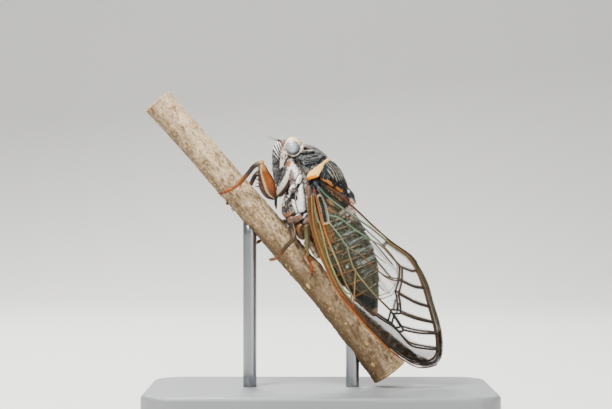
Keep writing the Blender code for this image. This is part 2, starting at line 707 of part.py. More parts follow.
def distance(point, a, b):
    """Distance from a point to the stretch from a to b."""
    span = b - a
    t = min(1.0, max(0.0, (point - a).dot(span) / max(span.length_squared, 1e-12)))
    return (point - a - span * t).length


def ridge_banks(line, outline, border):
    """The two lines along the feet of a ridge, broken where they come too near the wing's edge."""
    banks = []
    for turn in (1, -1):
        bank = []
        for i in range(len(line)):
            ahead = (line[min(i + 1, len(line) - 1)] - line[max(i - 1, 0)]).normalized()
            point = line[i] + turn * RIDGE_HALF_WIDTH * Vector((-ahead.y, ahead.x))
            if inside(outline, point) and min(distance(point, *span) for span in border) > RIDGE_TO_EDGE:
                bank.append(point)
            else:
                banks.append(bank)
                bank = []
        banks.append(bank)
    return [bank for bank in banks if len(bank) > 1]


def grid_points(outline, lines):
    """Points on an even grid inside an outline and clear of its lines."""
    low, high = (Vector((pick(p.x for p in outline), pick(p.y for p in outline))) for pick in (min, max))
    found = []
    for column in range(int((high.x - low.x) / CELL_STEP) + 1):
        for row in range(int((high.y - low.y) / CELL_STEP) + 1):
            point = low + CELL_STEP * Vector((column, row + 0.4))
            if inside(outline, point) and all(distance(point, *span) > CELL_TO_LINE for span in lines):
                found.append(point)
    return found


def flat_wing(outline, lines):
    """The points and triangles of a wing laid flat, with its veins and their feet as edges."""
    border = list(zip(outline, outline[1:] + outline[:1]))
    spans = [(a, b) for line in lines for a, b in zip(line, line[1:])]
    points = list(outline)
    edges = [(i, (i + 1) % len(outline)) for i in range(len(outline))]
    for line in lines:
        for chain in [line] + ridge_banks(line, outline, border):
            start = len(points)
            points.extend(chain)
            edges.extend((start + i, start + i + 1) for i in range(len(chain) - 1))
    points += grid_points(outline, border + spans)
    flat, _, faces, *_ = delaunay_2d_cdt(points, edges, [], 0, MERGE_WITHIN)
    middles = [sum((flat[i] for i in face), Vector((0, 0))) / len(face) for face in faces]
    return flat, [face for face, middle in zip(faces, middles) if inside(outline, middle)]


def wing(name, edges_of_wing, veins, height, out, side):
    """A thin ridged wing: one flat triangulation, lifted to both faces of its curved membrane."""
    edge, back = (even_points(chain, EDGE_STEP) for chain in edges_of_wing)
    lines = [even_points(vein, VEIN_STEP) for vein in veins.values()]
    flat, faces = flat_wing(edge[:-1] + back[::-1], lines)
    spans = [(a, b) for line in lines for a, b in zip(line, line[1:])]

    def ridge(point):
        near = min(distance(point, *span) for span in spans)
        return height * max(0.0, 1 - near / RIDGE_HALF_WIDTH)

    bm = bmesh.new()
    outer, inner = [], []
    for point in flat:
        middle = Vector((point.x, point.y, out(point.x, point.y)))
        along, up = slopes(out, point.x, point.y)
        normal = Vector((-along, -up, 1)).normalized()
        lifted = middle + normal * (MEMBRANE / 2 + ridge(point))
        sunk = middle - normal * MEMBRANE / 2
        outer.append(bm.verts.new((lifted.x, lifted.y, side * lifted.z)))
        inner.append(bm.verts.new((sunk.x, sunk.y, side * sunk.z)))
    uses = {}
    for a, b, c in faces:
        bm.faces.new((outer[a], outer[b], outer[c]))
        bm.faces.new((inner[c], inner[b], inner[a]))
        for i, j in ((a, b), (b, c), (c, a)):
            key = (min(i, j), max(i, j))
            uses[key] = uses.get(key, 0) + 1
    for (i, j), count in uses.items():
        if count == 1:
            bm.faces.new((outer[i], outer[j], inner[j]))
            bm.faces.new((outer[i], inner[j], inner[i]))
    for vert in [vert for vert in bm.verts if not vert.link_faces]:
        bm.verts.remove(vert)
    return link_mesh(name, bm)


# Legs

def make_leg(name, sizes):
    pieces = [limb(name, sizes["femur"])]
    pieces += [limb(part, sizes[part]) for part in ("coxa", "tibia")]
    pieces.append(limb("tarsus", sizes["tarsus"], 1))
    knee, knee_radius = sizes["femur"][-1]
    pieces.append(ellipsoid("knee", knee, [knee_radius + 0.05] * 3, 8, 5))
    foot, foot_radius = sizes["tarsus"][-1]
    for tips in sizes["claws"]:
        pieces += [limb("claw", [(foot, 0.22), (tip, 0.12)], 1) for tip in tips]
    pieces += [limb("spine", [(root, 0.28), (tip, 0.1)], 1) for root, tip in sizes["spines"]]
    return fuse(name, pieces)


# Branch and stand

def branch_form(name, grow=0.0):
    """A cut length of branch with a few low knobs."""
    rings = []
    first, last = BRANCH_LINE[0][0], BRANCH_LINE[-1][0]
    for index in range(BRANCH_RINGS + 1):
        u = first + (last - first) * index / BRANCH_RINGS
        rise = (smooth(BRANCH_LINE, u + 0.5) - smooth(BRANCH_LINE, u - 0.5))
        across = Vector((-rise, 1, 0)).normalized()
        middle = Vector((u, smooth(BRANCH_LINE, u), 0))
        ring = []
        for side in range(BRANCH_SIDES):
            angle = 2 * math.pi * side / BRANCH_SIDES
            radius = smooth(BRANCH_RADIUS, u) + grow
            for knob_u, knob_angle, height in KNOBS:
                turn = (angle - knob_angle + math.pi) % (2 * math.pi) - math.pi
                radius += height * math.exp(-(((u - knob_u) / KNOB_LENGTH) ** 2) - (turn / KNOB_SPREAD) ** 2)
            ring.append(middle + radius * (across * math.sin(angle) + Vector((0, 0, math.cos(angle)))))
        rings.append(ring)
    return loft(name, rings)


def make_base():
    """A flat plate with rounded corners and a softened edge."""
    length, width, height = BASE_SIZE
    bm = bmesh.new()
    bmesh.ops.create_cube(bm, size=1.0)
    bmesh.ops.scale(bm, vec=BASE_SIZE, verts=bm.verts)
    bmesh.ops.translate(bm, vec=(0, 0, height / 2), verts=bm.verts)
    upright = [edge for edge in bm.edges if abs(edge.verts[0].co.z - edge.verts[1].co.z) > height / 2]
    bmesh.ops.bevel(bm, geom=upright, offset=BASE_CORNER, segments=6, profile=0.5, affect="EDGES")
    top = [edge for edge in bm.edges if all(vert.co.z > height - 0.01 for vert in edge.verts)]
    bmesh.ops.bevel(bm, geom=top, offset=BASE_EDGE, segments=2, profile=0.5, affect="EDGES")
    return link_mesh("stand_base", bm)


def make_rod(name, x, axes):
    """An upright rod from the base to the underside of the branch, cut to fit it."""
    lean = math.radians(BODY_LEAN)
    foot = BASE_SIZE[2] + GAP
    first, last = BRANCH_LINE[0][0], BRANCH_LINE[-1][0]
    line = [(u, smooth(BRANCH_LINE, u)) for u in (first + (last - first) * k / 400 for k in range(401))]
    misses = [abs(EYES_X + u * math.cos(lean) + v * math.sin(lean) - x) for u, v in line]
    u, v = line[misses.index(min(misses))]
    top = EYES_Z - u * math.sin(lean) + v * math.cos(lean)
    bm = bmesh.new()
    sizes = {"radius1": ROD_RADIUS, "radius2": ROD_RADIUS, "depth": top - foot}
    bmesh.ops.create_cone(bm, cap_ends=True, segments=20, **sizes)
    bmesh.ops.translate(bm, vec=(x, 0, (top + foot) / 2), verts=bm.verts)
    rod = link_mesh(name, bm)
    cutter = branch_form("branch_cutter", GAP)
    cutter.parent = axes
    return carve(rod, [cutter])


def clear_scene():
    for obj in list(bpy.data.objects):
        bpy.data.objects.remove(obj)


def build():
    axes = body_axes()
    black, olive, amber = (0.03, 0.032, 0.035), (0.12, 0.09, 0.04), (0.45, 0.16, 0.03)
    finish(make_head(), (0.12, 0.11, 0.10), 0.6, axes)
    for side, hand in ((1, "left"), (-1, "right")):
        ball = eye(side)
        ball.name = "eye_" + hand
        finish(ball, (0.42, 0.46, 0.52), 0.3, axes)
        feeler = limb("antenna_" + hand, [((u, v, side * w), radius) for (u, v, w), radius in ANTENNA])
        finish(carve(feeler, skull_cutters(GAP) + ledges(GAP)), black, 0.5, axes)
    rostrum = limb("rostrum", ROSTRUM)
    finish(carve(rostrum, skull_cutters(GAP)), black, 0.5, axes)

    pronotum = carve(pronotum_form(), head_cutters(GAP))
    finish(pronotum, (0.10, 0.10, 0.10), 0.6, axes)
    mesonotum = carve(mesonotum_form(), [pronotum_form(GAP)])
    finish(mesonotum, black, 0.6, axes)
    scutellum = carve(fuse("scutellum", crest_pieces()), [mesonotum_form(GAP)])
    finish(scutellum, (0.3, 0.24, 0.16), 0.6, axes)
    above = [pronotum_form(GAP), mesonotum_form(GAP)] + crest_pieces(GAP)
    thorax = carve(thorax_form(), head_cutters(GAP) + above)
    finish(thorax, (0.55, 0.52, 0.5), 0.8, axes)
    abdomen = carve(abdomen_form(), [thorax_form(GAP)] + crest_pieces(GAP))
    finish(abdomen, (0.06, 0.08, 0.1), 0.5, axes)

    for side, hand in ((1, "left"), (-1, "right")):
        plate = plate_form(side)
        plate.name = "operculum_" + hand
        finish(carve(plate, [thorax_form(GAP), abdomen_form(GAP)]), (0.6, 0.58, 0.5), 0.6, axes)
        trunk = [thorax_form(GAP), mesonotum_form(GAP), pronotum_form(GAP)]
        outline = (FORE_EDGE, FORE_BACK)
        fore = wing("forewing_" + hand, outline, FORE_VEINS, RIDGE_HEIGHT, forewing_out, side)
        finish(carve(fore, trunk, "MANIFOLD"), (0.35, 0.33, 0.22), 0.3, axes)
        trunk = [thorax_form(GAP), mesonotum_form(GAP)]
        outline = (HIND_EDGE, HIND_BACK)
        hind = wing("hindwing_" + hand, outline, HIND_VEINS, HIND_RIDGE_HEIGHT, hindwing_out, side)
        finish(carve(hind, trunk, "MANIFOLD"), (0.35, 0.35, 0.3), 0.3, axes)

    for name, sizes in LEGS.items():
        leg = make_leg(name, sizes)
        leg = carve(leg, [thorax_form(GAP)] + (skull_cutters(GAP) if name.startswith("fore") else []))
        finish(leg, amber if name.startswith("fore") else olive, 0.4, axes)

    finish(branch_form("branch"), (0.35, 0.27, 0.2), 0.9, axes)
    finish(make_base(), (0.75, 0.74, 0.72), 0.5)
    finish(make_rod("stand_rod_long", LONG_ROD_X, axes), (0.6, 0.6, 0.6), 0.3)
    finish(make_rod("stand_rod_short", SHORT_ROD_X, axes), (0.6, 0.6, 0.6), 0.3)


clear_scene()
PARTS = bpy.data.collections.new("cicada")
bpy.context.scene.collection.children.link(PARTS)
build()
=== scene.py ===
"""The looks of a life-size cicada model on a cut branch and a plain stand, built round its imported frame.

Sizes are in millimetres and become metres when a piece is placed. The insect and its branch are drawn in
the insect's own axes: u runs from the middle of the eyes to the tail, v up out of its back, and w out to
its left. The stand is drawn in the world's axes. Marks on the body are lines of (u, v) points with a half
width, so the same mark lies on both sides.
"""

import math

import bmesh
import bpy
import numpy as np
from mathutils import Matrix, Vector, noise


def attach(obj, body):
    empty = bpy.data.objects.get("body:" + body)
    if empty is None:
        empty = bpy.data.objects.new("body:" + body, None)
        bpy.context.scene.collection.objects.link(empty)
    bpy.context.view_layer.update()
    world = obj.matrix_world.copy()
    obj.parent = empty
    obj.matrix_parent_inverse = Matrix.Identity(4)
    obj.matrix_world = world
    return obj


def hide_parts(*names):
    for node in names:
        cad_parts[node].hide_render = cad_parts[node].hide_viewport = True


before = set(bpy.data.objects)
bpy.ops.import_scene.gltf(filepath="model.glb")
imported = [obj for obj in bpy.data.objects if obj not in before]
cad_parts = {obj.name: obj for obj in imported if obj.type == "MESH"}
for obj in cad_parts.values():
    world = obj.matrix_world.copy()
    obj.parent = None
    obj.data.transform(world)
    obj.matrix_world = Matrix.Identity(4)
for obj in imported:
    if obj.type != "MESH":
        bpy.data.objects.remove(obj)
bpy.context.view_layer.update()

MM = 0.001
# Where the middle of the eyes lies in the world, and how steeply the body stands.
EYES_X = -5.19
EYES_Z = 47.96
BODY_LEAN = math.radians(57.9)

# The two sides of the insect: the sign of w there, and the side's name.
SIDES = ((1, "left"), (-1, "right"))

# Colours that several pieces share, in sRGB.
INK = "#0d0e11"
SLATE = "#3b4145"
ASH = "#8f918d"
BLOOM = "#ece8e2"
CREAM = "#efc17c"
ORANGE = "#a65800"
RUST = "#74300c"
UMBER = "#2e1b0e"
MOSS = "#5c785e"
TAN = "#94683a"

# Body forms: (u, top, bottom, level of the widest part, half width).
THORAX = [
    (1.4, -0.2, -2.4, -1.3, 3.8),
    (2.6, 0.9, -3.4, -1.4, 4.3),
    (4.2, 2.4, -4.4, -1.5, 4.9),
    (6.0, 3.6, -5.3, -1.6, 5.2),
    (7.6, 4.0, -6.7, -1.7, 5.2),
    (9.2, 4.2, -7.7, -1.8, 5.15),
    (11.0, 4.3, -7.8, -1.8, 5.05),
    (12.6, 4.1, -7.3, -1.7, 4.95),
    (13.6, 3.9, -6.5, -1.5, 4.85),
    (14.4, 3.7, -5.7, -1.3, 4.7),
]
PRONOTUM = [
    (0.7, 2.2, -0.7, 0.2, 4.9),
    (1.7, 3.2, -0.85, 0.1, 5.3),
    (3.0, 4.1, -0.9, 0.1, 5.6),
    (4.3, 4.6, -0.95, 0.0, 5.8),
    (4.9, 4.75, -1.0, 0.0, 5.95),
    (6.0, 4.8, -0.95, 0.0, 6.2),
]
# How far forward or back its two edges reach at each height: (v, u).
PRONOTUM_FRONT = [(-1.2, 1.2), (0.0, 0.9), (1.5, 0.6), (2.4, 0.25), (5.0, -0.2)]
PRONOTUM_BACK = [(-1.2, 6.3), (-0.4, 6.45), (0.6, 6.75), (1.2, 6.85), (2.0, 6.35), (3.2, 5.85), (5.0, 5.3)]
MESONOTUM = [
    (4.4, 3.6, 2.2, 2.6, 4.2),
    (5.2, 4.6, 2.0, 2.5, 4.8),
    (6.0, 5.2, 1.5, 2.1, 5.3),
    (7.2, 5.55, 1.2, 1.8, 5.6),
    (8.6, 5.6, 1.7, 2.1, 5.35),
    (10.0, 5.4, 2.4, 2.8, 4.6),
    (11.2, 5.15, 2.9, 3.3, 3.6),
    (12.4, 4.75, 3.3, 3.6, 2.4),
]
ABDOMEN = [
    (12.8, 3.2, -5.0, -1.1, 4.2),
    (15.0, 3.6, -5.9, -1.5, 4.7),
    (17.0, 3.6, -6.2, -1.7, 4.8),
    (20.0, 3.4, -6.4, -1.8, 4.8),
    (22.0, 3.1, -6.2, -1.9, 4.7),
    (24.0, 2.8, -5.9, -1.8, 4.6),
    (26.0, 2.2, -5.5, -1.9, 4.25),
    (28.0, 1.3, -5.1, -2.1, 3.7),
    (30.0, 0.1, -4.75, -2.4, 2.95),
    (31.6, -1.0, -4.55, -2.8, 2.3),
    (33.0, -2.0, -4.1, -3.05, 1.5),
    (33.8, -2.6, -3.85, -3.2, 0.9),
    (34.2, -3.05, -3.55, -3.3, 0.3),
]
SEGMENT_ENDS = [15.2, 16.9, 18.9, 21.0, 23.0, 25.0, 27.2, 29.3, 31.6]
SOUND_COVER = [
    (14.4, -6.15, -6.4, -6.3, 0.8),
    (15.6, -6.0, -6.8, -6.4, 1.8),
    (17.2, -6.0, -7.05, -6.5, 2.1),
    (18.8, -6.1, -7.05, -6.6, 1.8),
    (19.6, -6.3, -6.85, -6.6, 0.9),
]
SOUND_COVER_W = 2.3

# The head across its width: (w, middle u, middle v, half length, half height).
HEAD_ACROSS = [
    (0.0, -0.2, 0.35, 1.95, 1.75),
    (1.6, -0.15, 0.3, 1.9, 1.65),
    (3.0, 0.0, 0.25, 1.75, 1.45),
    (4.2, 0.1, 0.2, 1.45, 1.25),
    (4.9, 0.15, 0.15, 1.15, 1.05),
]
# The face and its bulging nose: (front u, front v, rear u, rear v, half width).
FACE = [
    (-1.5, -0.3, 1.3, 0.2, 3.2),
    (-1.5, -1.4, 1.6, -0.9, 3.3),
    (-1.0, -2.2, 2.4, -1.3, 3.2),
    (0.1, -3.1, 3.4, -1.9, 2.9),
    (1.6, -4.1, 4.4, -2.8, 2.4),
    (3.0, -5.1, 5.1, -4.1, 1.8),
    (4.1, -6.0, 5.6, -5.4, 1.15),
    (4.9, -6.7, 5.85, -6.4, 0.7),
    (5.4, -7.05, 5.85, -6.9, 0.4),
]
NOSE = [
    (-1.7, -0.5, 0.2, -1.4, 1.1),
    (-2.45, -1.2, 0.1, -1.9, 1.75),
    (-2.5, -2.1, 0.3, -2.5, 2.15),
    (-1.8, -3.1, 0.9, -3.0, 2.3),
    (-0.5, -4.0, 1.7, -3.4, 2.15),
    (1.0, -4.95, 2.8, -4.0, 1.8),
    (2.5, -5.6, 3.9, -4.9, 1.35),
    (3.8, -6.15, 4.6, -5.6, 0.9),
]
FACE_SIDES = 56
NOSE_RIDGES = 12
EYE = (0.0, 0.15, 4.75)
EYE_SIZE = (1.24, 1.24, 1.4)
# The raised ring round an eye, and the pale line on it.
SOCKET_RADIUS = 1.22
SOCKET_HALF = 0.2
PALE_RING = 1.5
# The ledge over the root of a feeler.
LEDGE = (-1.55, -0.75, 2.9)
LEDGE_SIZE = (0.9, 0.5, 0.95)
OCELLI = [(-0.75, 1.9, 0.0), (-0.1, 2.0, 0.75), (-0.1, 2.0, -0.75)]


def smooth(table, x):
    """Value at x, a number or an array, on the smooth line through a table of (x, value) pairs."""
    places, values = np.array(table, float).T
    slopes = np.empty_like(values)
    slopes[1:-1] = (values[2:] - values[:-2]) / (places[2:] - places[:-2])
    slopes[0] = (values[1] - values[0]) / (places[1] - places[0])
    slopes[-1] = (values[-1] - values[-2]) / (places[-1] - places[-2])
    x = np.clip(x, places[0], places[-1])
    low = np.clip(np.searchsorted(places, x, side="right") - 1, 0, len(places) - 2)
    span = places[low + 1] - places[low]
    t = (x - places[low]) / span
    start = values[low] * (1 + 2 * t) + slopes[low] * span * t
    end = values[low + 1] * (3 - 2 * t) + slopes[low + 1] * span * (t - 1)
    return start * (1 - t) ** 2 + end * t * t


def ramp(x, start, end):
    """0 up to start and 1 from end on, evenly between them; start may be the higher of the two."""
    return np.clip((x - start) / (end - start), 0, 1)


def turns(count):
    """Angles evenly round a full turn."""
    return 2 * math.pi * np.arange(count) / count


def columns(table, x):
    """Every column after the first of a table, each read at x."""
    return [smooth([(row[0], row[k]) for row in table], x) for k in range(1, len(table[0]))]


def colour(hex_value):
    """An sRGB hex colour as the linear RGBA that Blender's sockets take."""
    parts = [int(hex_value[i:i + 2], 16) / 255 for i in (1, 3, 5)]
    return tuple(c / 12.92 if c <= 0.04045 else ((c + 0.055) / 1.055) ** 2.4 for c in parts) + (1.0,)


def to_world(points):
    """(u, v, w) points in millimetres as world points in metres."""
    u, v, w = np.moveaxis(np.asarray(points, float), -1, 0)
    x = EYES_X + u * math.cos(BODY_LEAN) + v * math.sin(BODY_LEAN)
    z = EYES_Z - u * math.sin(BODY_LEAN) + v * math.cos(BODY_LEAN)
    return np.stack([x, -w, z], -1) * MM


# Making meshes

def link(name, data):
    """A new object in the scene."""
    obj = bpy.data.objects.new(name, data)
    bpy.context.scene.collection.objects.link(obj)
    return obj


def duplicate(obj, name):
    """A copy of an object with a mesh of its own."""
    twin = obj.copy()
    twin.data = obj.data.copy()
    twin.name = name
    bpy.context.scene.collection.objects.link(twin)
    return twin


def turn_out(mesh):
    """Turns a mesh's faces outwards and shades it smooth."""
    bm = bmesh.new()
    bm.from_mesh(mesh)
    bmesh.ops.recalc_face_normals(bm, faces=bm.faces)
    bm.to_mesh(mesh)
    bm.free()
    mesh.shade_smooth()


def grid_part(grid, paint=None, wrap=True, caps=True):
    """Points, faces and colours of a skin through a grid of points, wrapped round its rings."""
    rows, count = grid.shape[:2]
    index = np.arange(rows * count).reshape(rows, count)
    here, after = (index, np.roll(index, -1, axis=1)) if wrap else (index[:, :-1], index[:, 1:])
    faces = np.stack([here[:-1], after[:-1], after[1:], here[1:]], -1).reshape(-1, 4).tolist()
    if caps:
        faces += [index[0].tolist(), index[-1].tolist()]
    points = grid.reshape(-1, 3)
    paint = np.ones((len(points), 4)) if paint is None else np.reshape(paint, (-1, 4))
    return points, faces, paint


def assemble(name, parts, coloured=False):
    """One mesh object of several parts, with their colours in its paint attribute where asked."""
    points, faces, paints = [], [], []
    for part_points, part_faces, part_paint in parts:
        start = sum(len(block) for block in points)
        points.append(part_points)
        faces += [[start + corner for corner in face] for face in part_faces]
        paints.append(part_paint)
    mesh = bpy.data.meshes.new(name)
    mesh.from_pydata(np.concatenate(points).tolist(), [], faces)
    turn_out(mesh)
    if coloured:
        layer = mesh.attributes.new("paint", "FLOAT_COLOR", "POINT")
        layer.data.foreach_set("color", np.concatenate(paints).astype(np.float32).ravel())
    return link(name, mesh)


def read(obj):
    """A piece's points and outward directions, as arrays."""
    count = len(obj.data.vertices)
    points, normals = np.empty(count * 3), np.empty(count * 3)
    obj.data.vertices.foreach_get("co", points)
    obj.data.vertex_normals.foreach_get("vector", normals)
    return points.reshape(-1, 3), normals.reshape(-1, 3)


def relief(obj, height):
    """Moves each point out by height(points), in millimetres."""
    points, normals = read(obj)
    points += normals * height(points)[:, None]
    obj.data.vertices.foreach_set("co", points.ravel())
    obj.data.update()


def mask(obj, name, values):
    """Stores one number a point, which a material reads by its name."""
    layer = obj.data.attributes.new(name, "FLOAT", "POINT")
    layer.data.foreach_set("value", np.clip(values, 0.0, 1.0).astype(np.float32))


def settle(obj):
    """Makes what an object's modifiers give its plain mesh."""
    bpy.context.view_layer.update()
    graph = bpy.context.evaluated_depsgraph_get()
    made = bpy.data.meshes.new_from_object(obj.evaluated_get(graph))
    old = obj.data
    obj.modifiers.clear()
    obj.data = made
    bpy.data.meshes.remove(old)


def fuse(obj, voxel, rounds):
    """Fuses a piece's overlapping parts into one skin, softened a few rounds."""
    skin = obj.modifiers.new("fuse", "REMESH")
    skin.mode = "VOXEL"
    skin.voxel_size = voxel
    obj.modifiers.new("soften", "SMOOTH").iterations = rounds
    settle(obj)


def place(obj, material, slot, *nodes, insect=True):
    """Puts a finished piece in the world, in metres, on the root body, in place of its CAD nodes."""
    points, _ = read(obj)
    points = to_world(points) if insect else points * MM
    obj.data.vertices.foreach_set("co", points.ravel())
    obj.data.update()
    if material is not None:
        obj.data.materials.clear()
        obj.data.materials.append(material)
    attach(obj, "root")
    if nodes:
        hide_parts(*nodes)


# Measuring on the body

def away(places, line):
    """How far each (u, v) place lies from a line through (u, v) points."""
    best = np.full(len(places), np.inf)
    for a, b in zip(line, line[1:] or line):
        a, span = np.array(a, float), np.subtract(b, a)
        t = np.clip((places - a) @ span / max(span @ span, 1e-9), 0, 1)
        best = np.minimum(best, np.linalg.norm(places - a - t[:, None] * span, axis=1))
    return best


def marked(places, marks):
    """1 inside any of some (line, half width) marks, 0.5 on its border and 0 well outside."""
    inside = np.zeros(len(places))
    for line, half in marks:
        inside = np.maximum(inside, np.clip(1 - 0.5 * away(places, line) / half, 0, 1))
    return inside


def dent(places, lines, width):
    """How deep each place lies in any of some grooves, from 0 to 1."""
    deep = np.zeros(len(places))
    for line in lines:
        deep = np.maximum(deep, np.exp(-((away(places, line) / width) ** 2)))
    return deep


def rough(points, size, seed=0.0):
    """Smooth random heights from -1 to 1, about a size apart."""
    return np.array([noise.noise(Vector(point) / size + Vector((seed, 0, 0))) for point in points])


def side_view(points):
    """Where points lie on the side view, as (u, v) places."""
    return points[:, :2]


def ragged(points, amount=0.3, size=0.55):
    """The side view of points, pushed about a little so that marks drawn on it get natural borders."""
    push = np.stack([rough(points, size, 21.0), rough(points, size, 33.0)], -1)
    return side_view(points) + amount * push


def mark_up(obj, places, marks):
    """Stores a mask for each named set of marks."""
    for name, lines in marks.items():
        mask(obj, name, marked(places, lines))


def mirrored(spots, side):
    """Pairs of a (u, v, w) place on the left and a size, moved to a side."""
    return [((u, v, side * w), size) for (u, v, w), size in spots]


def round_form(name, stations, rows, sides, edges=None, middle_w=0.0):
    """A skin of rounded sections read from a form's stations, its two edges shaped by height where given."""
    along = np.linspace(stations[0][0], stations[-1][0], rows)[:, None]
    top, bottom, level, half = columns(stations, along)
    angle = turns(sides) + math.pi / sides
    up = np.sin(angle)[None, :]
    v = level + np.where(up > 0, top - level, level - bottom) * up
    w = middle_w + half * np.cos(angle)
    u = np.broadcast_to(along, v.shape)
    if edges:
        front, back = edges
        share = (along - stations[0][0]) / (stations[-1][0] - stations[0][0])
        u = smooth(front, v) * (1 - share) + smooth(back, v) * share
    return assemble(name, [grid_part(np.stack([u, v, np.broadcast_to(w, v.shape)], -1))])


def ball(middle, size, segments=48, rings=32):
    """A dense rounded blob, its poles out to the sides."""
    turn = turns(segments)
    tilt = np.linspace(0.02, math.pi - 0.02, rings)[:, None]
    across = np.broadcast_to(np.cos(tilt), (rings, segments))
    grid = np.stack([np.sin(tilt) * np.cos(turn), np.sin(tilt) * np.sin(turn), across], -1)
    return grid_part(np.array(middle) + np.array(size) * grid)


def limb(stops, sides=18, steps=28, colours=None, flat=1.0, bands=()):
    """A tapering limb with rounded ends through (point, radius) stops, coloured from root to tip.

    It has some sides round it and some steps along it, and flat squeezes it from side to side. Each band is a
    colour, its height between the limb's two edges, from -1 to 1, and its half width.
    """
    places = np.array([point for point, _ in stops], float)
    lengths = np.concatenate([[0], np.cumsum(np.linalg.norm(np.diff(places, axis=0), axis=1))])
    whole = lengths[-1]
    at = whole * (0.5 - 0.5 * np.cos(np.linspace(0, math.pi, steps)))
    line = np.stack([smooth(list(zip(lengths, places[:, axis])), at) for axis in range(3)], -1)
    radius = smooth([(length, stop[1]) for length, stop in zip(lengths, stops)], at)
    ends = np.minimum(at, whole - at) / np.maximum(radius, 1e-6)
    radius = radius * np.sqrt(np.clip(1 - (1 - np.clip(ends, 0, 1)) ** 2, 0.03, 1))
    ahead = np.gradient(line, axis=0)
    ahead /= np.linalg.norm(ahead, axis=1)[:, None]
    side = np.cross(ahead, np.cross((0.0, 0.0, 1.0), ahead) + 1e-6)
    side /= np.linalg.norm(side, axis=1)[:, None]
    up = np.cross(side, ahead)
    angle = turns(sides)
    ring = side[:, None] * np.cos(angle)[None, :, None] * flat + up[:, None] * np.sin(angle)[None, :, None]
    grid = line[:, None] + radius[:, None, None] * ring
    paint = np.repeat(shades(colours or [BLOOM], at / whole)[:, None], sides, axis=1)
    for shade, height, reach in bands:
        inside = np.clip((reach - np.abs(np.sin(angle) - height)) * 7 + 0.5, 0, 1)[None, :, None]
        paint = paint * (1 - inside) + np.array(colour(shade)) * inside
    return grid_part(grid, paint)


# Shader and geometry trees

def fill(tree, node, links):
    """Gives some of a node's inputs a value or another node's output."""
    for socket, value in links.items():
        if isinstance(value, bpy.types.NodeSocket):
            tree.links.new(value, node.inputs[socket])
        else:
            node.inputs[socket].default_value = value


def add(tree, kind, links=None, **settings):
    """Adds a node: settings are its properties, links what each input takes, a value or another's output."""
    made = tree.nodes.new(kind)
    for name, value in settings.items():
        setattr(made, name, value)
    fill(tree, made, links or {})
    return made


def new_material(name):
    """A material, its tree, its shader and the object's own coordinates."""
    material = bpy.data.materials.new(name)
    material.use_nodes = True
    tree = material.node_tree
    return material, tree, tree.nodes["Principled BSDF"], add(tree, "ShaderNodeTexCoord").outputs["Object"]


def patches(where, size, detail=4.0):
    """What a noise texture takes for random patches about size millimetres across."""
    return {"Vector": where, "Scale": 0.6 / (size * MM), "Detail": detail, "Roughness": 0.6}


def blend(tree, level, low, high, under, over, most=1.0):
    """Colour under passing smoothly into colour over, to a most in all, as a level goes from low to high."""
    links = {"Value": level, "From Min": low, "From Max": high, "To Min": 0.0, "To Max": most}
    share = add(tree, "ShaderNodeMapRange", links, interpolation_type="SMOOTHSTEP").outputs["Result"]
    return add(tree, "ShaderNodeMix", {"Factor": share, 6: under, 7: over}, data_type="RGBA").outputs[2]


def dress(tree, shader, paint, grain, dull, height, bump, gloss=0.25):
    """Gives a shader its colour, a roughness that its grain varies over a range, fine bumps and its gloss."""
    links = {"Value": grain, "From Min": 0.3, "From Max": 0.8, "To Min": dull[0], "To Max": dull[1]}
    varied = add(tree, "ShaderNodeMapRange", links, interpolation_type="SMOOTHSTEP").outputs["Result"]
    bumps = add(tree, "ShaderNodeBump", {"Height": height, "Distance": bump * MM, "Strength": 0.8})
    fill(tree, shader, {"Base Color": paint, "Roughness": varied, "Normal": bumps.outputs["Normal"],
                        "Specular IOR Level": gloss})


def shell(name, dark, light, layers, roughness=0.5, grain=0.3, bump=0.03, gloss=0.25):
    """Insect shell: two tones in a fine grain, then layers of (mask, colour, softness) over them.

    Half of the grain, which is about 0.5 all over, is added to each mask, so that its borders fray.
    """
    material, tree, shader, where = new_material(name)
    fine = add(tree, "ShaderNodeTexNoise", patches(where, grain)).outputs["Fac"]
    broad = add(tree, "ShaderNodeTexNoise", patches(where, 5 * grain, 2.0)).outputs["Fac"]
    ground = add(tree, "ShaderNodeMath", {0: broad, 1: 0.6, 2: fine}, operation="MULTIPLY_ADD").outputs[0]
    paint = blend(tree, ground, 0.66, 0.98, colour(dark), colour(light))
    for attribute, shade, soft in layers:
        level = add(tree, "ShaderNodeAttribute", attribute_name=attribute).outputs["Fac"]
        level = add(tree, "ShaderNodeMath", {0: fine, 1: 0.5, 2: level}, operation="MULTIPLY_ADD").outputs[0]
        paint = blend(tree, level, 0.75 - soft, 0.75 + soft, paint, colour(shade))
    dress(tree, shader, paint, fine, (roughness - 0.1, roughness + 0.12), ground, bump, gloss)
    return material


def painted(name, roughness, grain=0.3):
    """Shell whose colours are in the piece's paint attribute, darkened here and there by its grain."""
    material, tree, shader, where = new_material(name)
    fine = add(tree, "ShaderNodeTexNoise", patches(where, grain)).outputs["Fac"]
    paint = add(tree, "ShaderNodeAttribute", attribute_name="paint").outputs["Color"]
    paint = blend(tree, fine, 0.35, 0.7, paint, colour(UMBER), most=0.35)
    dress(tree, shader, paint, fine, (roughness, roughness + 0.2), fine, 0.01)
    return material


def two_toned(name, size, first, second, links):
    """A material that drifts between two colours in patches about size millimetres across."""
    material, tree, shader, where = new_material(name)
    drift = add(tree, "ShaderNodeTexNoise", patches(where, size)).outputs["Fac"]
    tones = {"Factor": drift, 6: colour(first), 7: colour(second)}
    tone = add(tree, "ShaderNodeMix", tones, data_type="RGBA").outputs[2]
    fill(tree, shader, {"Base Color": tone, **links})
    return material


